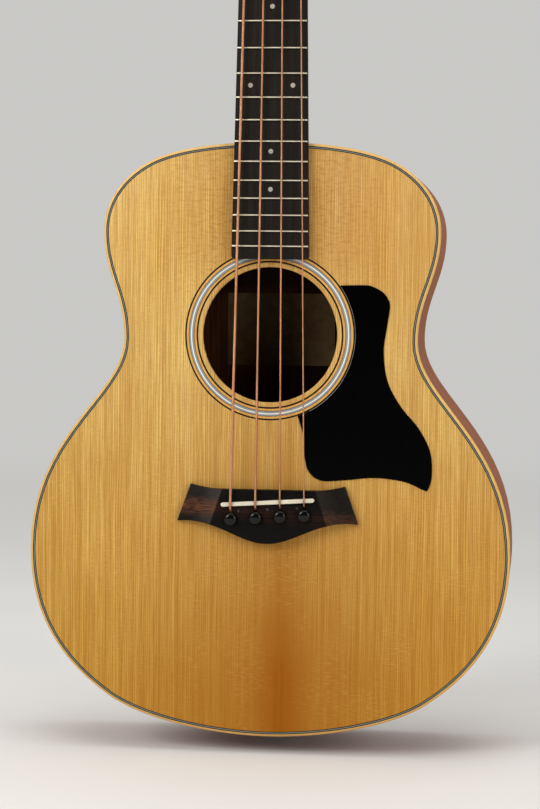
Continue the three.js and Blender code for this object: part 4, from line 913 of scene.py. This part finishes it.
def make_guard():
    places = [(22.1 + x * 101.0, 7.2 + y * 152.5) for x, y in GUARD]
    radius = CHANNEL_OUT + GLUE
    first, last = (math.atan2(places[i][1] - HOLE_Y, places[i][0]) for i in (0, -1))

    def on_ring(share):
        return polar(0, HOLE_Y, radius, last + (first - last) * share)

    points = catmull([on_ring(1)] + places[1:], 8) + [on_ring(i / 48) for i in range(48)]
    after, before = points[1:] + points[:1], points[-1:] + points[:-1]
    area = sum(ax * by - bx * ay for (ax, ay), (bx, by) in zip(points, after))
    way = 1 if area > 0 else -1

    def inset_ring(inset, z):
        ring = []
        for (ax, ay), (x, y), (bx, by) in zip(before, points, after):
            tx, ty = bx - ax, by - ay
            shift = inset * way / (math.hypot(tx, ty) or 1.0)
            ring.append(W(x - ty * shift, y + tx * shift, z))
        return ring

    rings = [inset_ring(inset, z) for inset, z in ((0, GLUE), (0, 0.5), (0.1, 0.72), (0.32, 0.85))]
    made = skin("pickguard_sheet", rings, black_gloss, slot="black_plastic", stands_for="pickguard")
    # The bevel faces along the rosette get the painted highlight
    made.data.materials.append(guard_edge_highlight)
    for polygon in made.data.polygons:
        middle = polygon.center
        reach = math.hypot(middle.x, middle.z - W(0, HOLE_Y, 0).z) * 1000
        if reach < radius + 0.5 and abs(polygon.normal.y) < 0.97 and middle.x > 0.03:
            polygon.material_index = 1


make_guard()

# Fretboard, frets and position dots
BOARD_TOP = 6.4
NUT_WIDTH, BOARD_WIDTH = 43.2, 58.0
FRET_HIGH = 1.1
# Twice the radius of the board's camber
CAMBER = 762.0


def fret_y(fret):
    return SCALE * 2 ** (-fret / 12)


def board_half(y):
    last = fret_y(20)
    return (BOARD_WIDTH + (NUT_WIDTH - BOARD_WIDTH) * (y - last) / (SCALE - last)) / 2


def drop(x):
    return x * x / CAMBER


def make_board():
    rings = []
    for y, half in ((178.3, board_half(178.3) - 2), (178.9, board_half(178.9) - 0.9),
                    (180.3, board_half(180.3)), (SCALE - REST, board_half(SCALE))):
        corner = BOARD_TOP - drop(half) - 0.4
        ring = [W(-half, y, GLUE), W(half, y, GLUE), W(half, y, corner)]
        for i in range(17):
            x = half * 0.988 * (1 - i / 8)
            ring.append(W(x, y, BOARD_TOP - drop(x)))
        rings.append(ring + [W(-half, y, corner)])
    made = skin("fret_board", rings, board_wood, slot="dark_wood", stands_for="fretboard")
    made.data.set_sharp_from_angle(angle=math.radians(30))


make_board()


def make_frets():
    tang = 0.38
    section = [(-tang, -1.7), (tang, -1.7), (tang, 0.0)]
    for i in range(13):
        a = math.pi * i / 12
        section.append((1.3 * math.cos(a), FRET_HIGH * math.sin(a)))
    section += [(-tang, 0.0)]
    for fret in range(1, 21):
        y = fret_y(fret)
        half = board_half(y) - 0.3
        rings = []
        for i in range(-9, 10):
            x = i / 9 * half
            squeeze = 0.62 if abs(i) == 9 else 1.0
            seat = BOARD_TOP + GLUE - drop(x)
            rings.append([W(x, y + a, seat + (b * squeeze if b > 0 else b)) for a, b in section])
        made = skin(f"fret_wire_{fret:02d}", rings, fret_wire, slot="fret_metal",
                    stands_for=f"fret_{fret:02d}")
        made.data.set_sharp_from_angle(angle=math.radians(50))


make_frets()


DOT = [(1.78, -0.7), (1.78, 0.01), (1.72, 0.03), (0.05, 0.03)]
DOT_SPOTS = [(0.0, fret) for fret in (3, 5, 7, 9, 15, 17)] + [(-15.9, 12), (15.9, 12)]
for index, (x, fret) in enumerate(DOT_SPOTS):
    y = (fret_y(fret) + fret_y(fret - 1)) / 2
    turned(f"dot_{index + 1}", DOT, lambda a, b, h: W(x + a, y + b, BOARD_TOP - drop(x + a) + h), pearl,
           sides=28, slot="ivory_trim")

soften("nut", ivory, 0.0004)

# Neck and headstock, lofted more finely than the solid they stand for
HEAD_TILT = math.radians(15)
HEAD_WIDTH, HEAD_THICK, HEAD_LONG, TIP_HALF = 72.0, 14.5, 151.0, 25.0
HEEL_LONG, HEEL_DEEP, HEEL_NARROW = 62.0, 88.0, 24.0
# How square a section is, from 1, round, towards 0
HEEL_SQUARE, HEAD_SQUARE = 0.55, 0.12


def head(x, y, z):
    c, s = math.cos(HEAD_TILT), math.sin(HEAD_TILT)
    return W(x, SCALE + NUT + y * c + z * s, -y * s + z * c)


def neck_section(half, depth, roundness, taper, steps=28):
    ring = []
    for step in range(steps + 1):
        a = math.pi * step / steps
        down = math.sin(a) ** roundness if 0 < step < steps else 0.0
        c = math.cos(a)
        side = 0.0 if step * 2 == steps else math.copysign(abs(c) ** roundness, c)
        ring.append((side * half * (1 - taper * down), -down * depth))
    return ring


def neck_depth(y):
    return 18.0 + (15.5 - 18.0) * (y - JOIN_Y) / (SCALE - JOIN_Y)


HEEL = [(0, 1), (0.14, 1), (0.22, 0.9), (0.31, 0.62), (0.43, 0.36), (0.6, 0.16), (0.8, 0.04), (1, 0)]
HEAD = [(0.07, 0.12), (0.16, 0.62), (0.26, 0.96), (0.42, 1), (0.74, 0.93), (0.93, 0.78)]
POSTS = [(-20.0, 42.0, -1), (-20.0, 102.0, -1), (20.0, 102.0, 1), (20.0, 42.0, 1)]


def head_half(width):
    return (NUT_WIDTH + (HEAD_WIDTH - NUT_WIDTH) * width) / 2


def make_neck():
    rings = []
    for place, full in catmull(HEEL, 4):
        full = min(1.0, max(0.0, full))
        y = JOIN_Y + REST + place * HEEL_LONG
        depth = neck_depth(y) + (HEEL_DEEP - neck_depth(y)) * full
        taper = full * (1 - HEEL_NARROW / (2 * board_half(y)))
        section = neck_section(board_half(y), depth, 1 + (HEEL_SQUARE - 1) * full, taper)
        rings.append([W(x, y, z) for x, z in section])
    for y in (420.0, 520.0, SCALE, SCALE + NUT):
        section = neck_section(board_half(min(y, SCALE)), neck_depth(y), 1.0, 0.0)
        rings.append([W(x, y, z) for x, z in section])
    stations = []
    for place, width in catmull(HEAD, 4):
        square = 1.0 if place > 0.42 else min(width, 1.0)
        stations.append((place, head_half(min(width, 1.0)), 1 + (HEAD_SQUARE - 1) * square))
    shoulder_y, shoulder = HEAD[-1]
    for turn in (0.35, 0.6, 0.8, 0.94, 1.0):
        half = TIP_HALF + (head_half(shoulder) - TIP_HALF) * math.sqrt(1 - turn ** 2)
        stations.append((shoulder_y + (1 - shoulder_y) * turn, half, HEAD_SQUARE))
    for place, half, roundness in stations:
        section = neck_section(half, HEAD_THICK, roundness, 0.0)
        rings.append([head(x, place * HEAD_LONG, z) for x, z in section])
    tools = [disc_tool(4.25, x, y, -17.0, 3.0, place=head) for x, y, _ in POSTS]
    adopt("neck_shaft", carve(loft_object(rings), tools, 0), neck_wood, "neck")


make_neck()

for node in ("top_lining_bass", "top_lining_treble", "back_lining_bass", "back_lining_treble",
             "neck_block", "tail_block", "x_brace", "bridge_plate"):
    soften(node, inner_wood, 0.0003)
soften("truss_rod", steel, 0.0002)
for name, _ in STRINGS:
    for part in ("plate", "post", "key"):
        soften(f"machine_{part}_{name}", nickel, 0.00025)

# Rounder buttons and posts over the machines' solids, with bushings and plate screws
WORM_AWAY, WORM_Z, PLATE_Z = 11.3, -20.4, -16.2
BUTTON_X, BUTTON_WIDE, BUTTON_LONG = 31.5, 8.75, 10.75
PLATE_SCREWS = [(-8.3, -17.0), (8.3, -17.0), (0.0, 9.35)]
BUTTON = [(0.02, 3.8), (0.35, 3.72), (0.62, 3.6), (0.8, 3.43), (0.88, 3.25), (0.94, 2.85), (0.98, 2.3),
          (1.0, 1.5)]
COLLAR = [(2.15, 19.6), (2.6, 19.8), (2.75, 20.4), (2.45, 21.0), (2.5, 21.9), (3.1, 23.2), (3.3, 24.4)]
POST = [(4.12, 0.4), (4.12, 12.5), (4.3, 12.75), (4.95, 13.75), (5.0, 14.05), (4.88, 14.45), (4.4, 14.95),
        (3.4, 15.15), (1.6, 15.24), (0.1, 15.27)]
BUSHING = [(4.4, -0.3), (6.9, -0.3), (7.0, 0.5), (6.75, 0.85), (6.2, 1.05), (4.9, 1.1), (4.5, 1.0),
           (4.4, 0.7)]
SCREW = [(1.4, -0.3), (1.42, 0.2), (1.3, 0.45), (1.0, 0.66), (0.62, 0.76), (0.5, 0.72), (0.42, 0.3),
         (0.05, 0.28)]


def make_machine_trim():
    button = BUTTON + [(share, -z) for share, z in reversed(BUTTON)]
    for (name, _), (x, y, side) in zip(STRINGS, POSTS):
        key_x, key_y = x + side * BUTTON_X, y - WORM_AWAY
        turned(f"button_{name}", button, lambda a, b, h: head(
            key_x + BUTTON_WIDE * a, key_y + BUTTON_LONG * b, WORM_Z + h),
            nickel, sides=56, slot="nickel", body=f"key_{name}")
        turned(f"collar_{name}", COLLAR, lambda a, b, h: head(x + side * h, key_y + a, WORM_Z + b),
               nickel, sides=32, slot="nickel", body=f"key_{name}")
        turned(f"post_sleeve_{name}", POST, at(x, y, place=head), nickel, sides=40, slot="nickel",
               body=f"post_{name}")
        turned(f"bushing_{name}", BUSHING, at(x, y, place=head), nickel, sides=40, closed=True,
               slot="nickel")
        for spot, (dx, dy) in enumerate(PLATE_SCREWS):
            turned(f"plate_screw_{name}_{spot + 1}", SCREW, at(x + dx, y + dy, PLATE_Z, head, -1),
                   screw_steel, sides=24, slot="nickel")


make_machine_trim()


END_PIN = [(0.05, -9.0), (7.2, -9.0), (7.75, -8.8), (8.0, -8.4), (8.0, -7.3), (7.6, -7.0), (4.8, -5.6),
           (4.4, -5.2), (4.4, -2.0), (6.2, -1.1), (6.4, -0.9), (6.4, -0.1), (6.3, 0.0), (4.0, 0.0),
           (4.0, 19.0), (0.05, 19.0)]
turned("end_pin_knob", END_PIN, lambda a, b, h: W(a, TAIL - REST + h, b - TAIL_DEEP / 2), black_gloss,
       sides=40, slot="black_plastic", stands_for="end_pin")


# Strings, along the same route as the solids, with rounder bends
def string_stops(index, diameter):
    radius = diameter / 2
    x = bridge_x(index)
    y = saddle_y(x)
    hole_y, over, crest = pin_y(x) + 3.9, SADDLE_TOP + REST + radius, 1.55
    nut_x = string_x(index, 34.6)
    nut_z = BOARD_TOP + FRET_HIGH + 0.7 - drop(nut_x) + radius
    stops = [W(*p) for p in (
        (x, hole_y, -8.4), (x, hole_y, 5.1), (x, pin_y(x) + 6.4, BRIDGE_TOP),
        (x, y - crest - (REST + radius) / 2, over), (x, y + crest, over),
        (nut_x, SCALE, nut_z), (nut_x, SCALE + NUT, nut_z))]
    px, py, side = POSTS[index]
    reach = 4.0 + REST + radius
    start = math.atan2(-py, nut_x - px) - side * math.acos(reach / math.hypot(nut_x - px, py))
    turns, count, pitch = 2.0, 72, diameter + 0.25
    for step in range(count + 1):
        turn = turns * step / count
        a = start - side * 2 * math.pi * turn
        stops.append(head(*polar(px, py, reach, a), 9.0 - pitch * turn))
    return stops


for index, (name, diameter) in enumerate(STRINGS):
    tube(f"string_run_{name}", string_stops(index, diameter), diameter / 2000, bronze, slot="string_bronze",
         stands_for=f"string_{name}")


# Plain paper label with a ruled border, stuck to the inside of the back
def make_label():
    left, right_x, low, high = -45.5, 40.0, 95.5, 152.7
    arch_x, arch_y = 180.0, 220.0

    def inside(x, y, lift):
        share = min(1.0, math.hypot(x / arch_x, (y - ARCH_Y) / arch_y))
        return W(x, y, back_z(y, share) + BACK_THICK + lift)

    def rounded(inset, radius, lift, steps=8):
        x0, x1 = left + inset + radius, right_x - inset - radius
        y0, y1 = low + inset + radius, high - inset - radius
        out = []
        for x, y, start in ((x1, y0, -90), (x1, y1, 0), (x0, y1, 90), (x0, y0, 180)):
            for i in range(steps + 1):
                a = math.radians(start + 90 * i / steps)
                out.append(inside(*polar(x, y, radius, a), lift))
        return out

    skin("paper_label", [rounded(0, 0.5, 0.25), rounded(0, 0.5, 0.45)], paper, slot="ivory_trim")
    border = ((5, 9, 0.42), (5, 9, 0.5), (5.5, 8.5, 0.5), (5.5, 8.5, 0.42))
    skin("label_border", [rounded(*ring) for ring in border], paper_ink, closed=True, slot="ivory_trim")


make_label()

# Floor that fades into the room's own pale tone, and the lights
ROOM = (0.585, 0.58, 0.565, 1.0)


def stage_material():
    m = Mat("stage_paper", Roughness=0.9)
    cloud = m.noise(m.place((2, 2, 2)), 1.0, 4.0, 0.5)
    m.colour(m.ramp(cloud, [(0.3, 222, 220, 215), (0.7, 229, 227, 222)]))
    x, y = m.split(m.coord())[:2]
    reach = m.math("SQRT", m.plus(m.times(x, x), m.times(y, y)))
    seen = m.node("LightPath").outputs["Is Camera Ray"]
    far = m.times(m.span(reach, 0.35, 3.2, kind="SMOOTHSTEP"), seen)
    glow = m.node("Emission", {"Color": ROOM})
    m.output("OUTPUT_MATERIAL", far, m.bsdf.outputs[0], glow.outputs[0])
    return m.mat


def make_stage():
    floor_z = cad_low.z - 0.004
    sides, rows = 48, (0.4, 1.0, 2.0, 4.0, 7.0, 11.0)
    verts, faces = [(0, 0, floor_z)], []
    for radius in rows:
        verts += [(x, y, floor_z) for x, y in circle(radius, sides)]
    for i in range(sides):
        j = (i + 1) % sides
        faces.append((0, 1 + i, 1 + j))
        for low in range(1, len(verts) - sides, sides):
            high = low + sides
            faces.append((low + i, high + i, high + j, low + j))
    mesh = new_mesh("floor", verts, faces)
    mesh.materials.append(stage_material())
    made = add_object("floor", mesh)


make_stage()


def lamp(name, where, target, size, power):
    data = bpy.data.lights.new(name, "AREA")
    data.shape = "RECTANGLE"
    data.size, data.size_y = size
    data.energy = power
    made = add_object(name, data)
    made.location = where
    made.rotation_mode = "QUATERNION"
    made.rotation_quaternion = (Vector(target) - Vector(where)).to_track_quat("-Z", "Y")


middle = (cad_low + cad_high) / 2
lamp("key", (-1.9, -2.2, 1.0), middle, (1.6, 1.6), 64)
lamp("fill", (2.3, -1.9, 0.3), middle, (1.2, 1.8), 34)
lamp("overhead", (0.2, -0.3, 2.0), middle, (2.2, 2.2), 30)

world = bpy.data.worlds.new("room")
bpy.context.scene.world = world
world.use_nodes = True
sky = Nodes(world.node_tree)
level = sky.span(sky.split(sky.coord("Generated"))[1], -1.0, 1.0)
shade = sky.ramp(level, [(where, (tone, tone, tone * 1.02, 1)) for where, tone in (
    (0.06, 0.05), (0.34, 0.62), (0.5, 0.75))])
lit = sky.find("BACKGROUND")
sky.put(lit.inputs[0], shade)
lit.inputs[1].default_value = 0.7
plain = sky.node("Background", {0: ROOM})
seen = sky.node("LightPath").outputs["Is Camera Ray"]
sky.output("OUTPUT_WORLD", seen, lit.outputs[0], plain.outputs[0])

bpy.context.scene.view_settings.view_transform = "Standard"
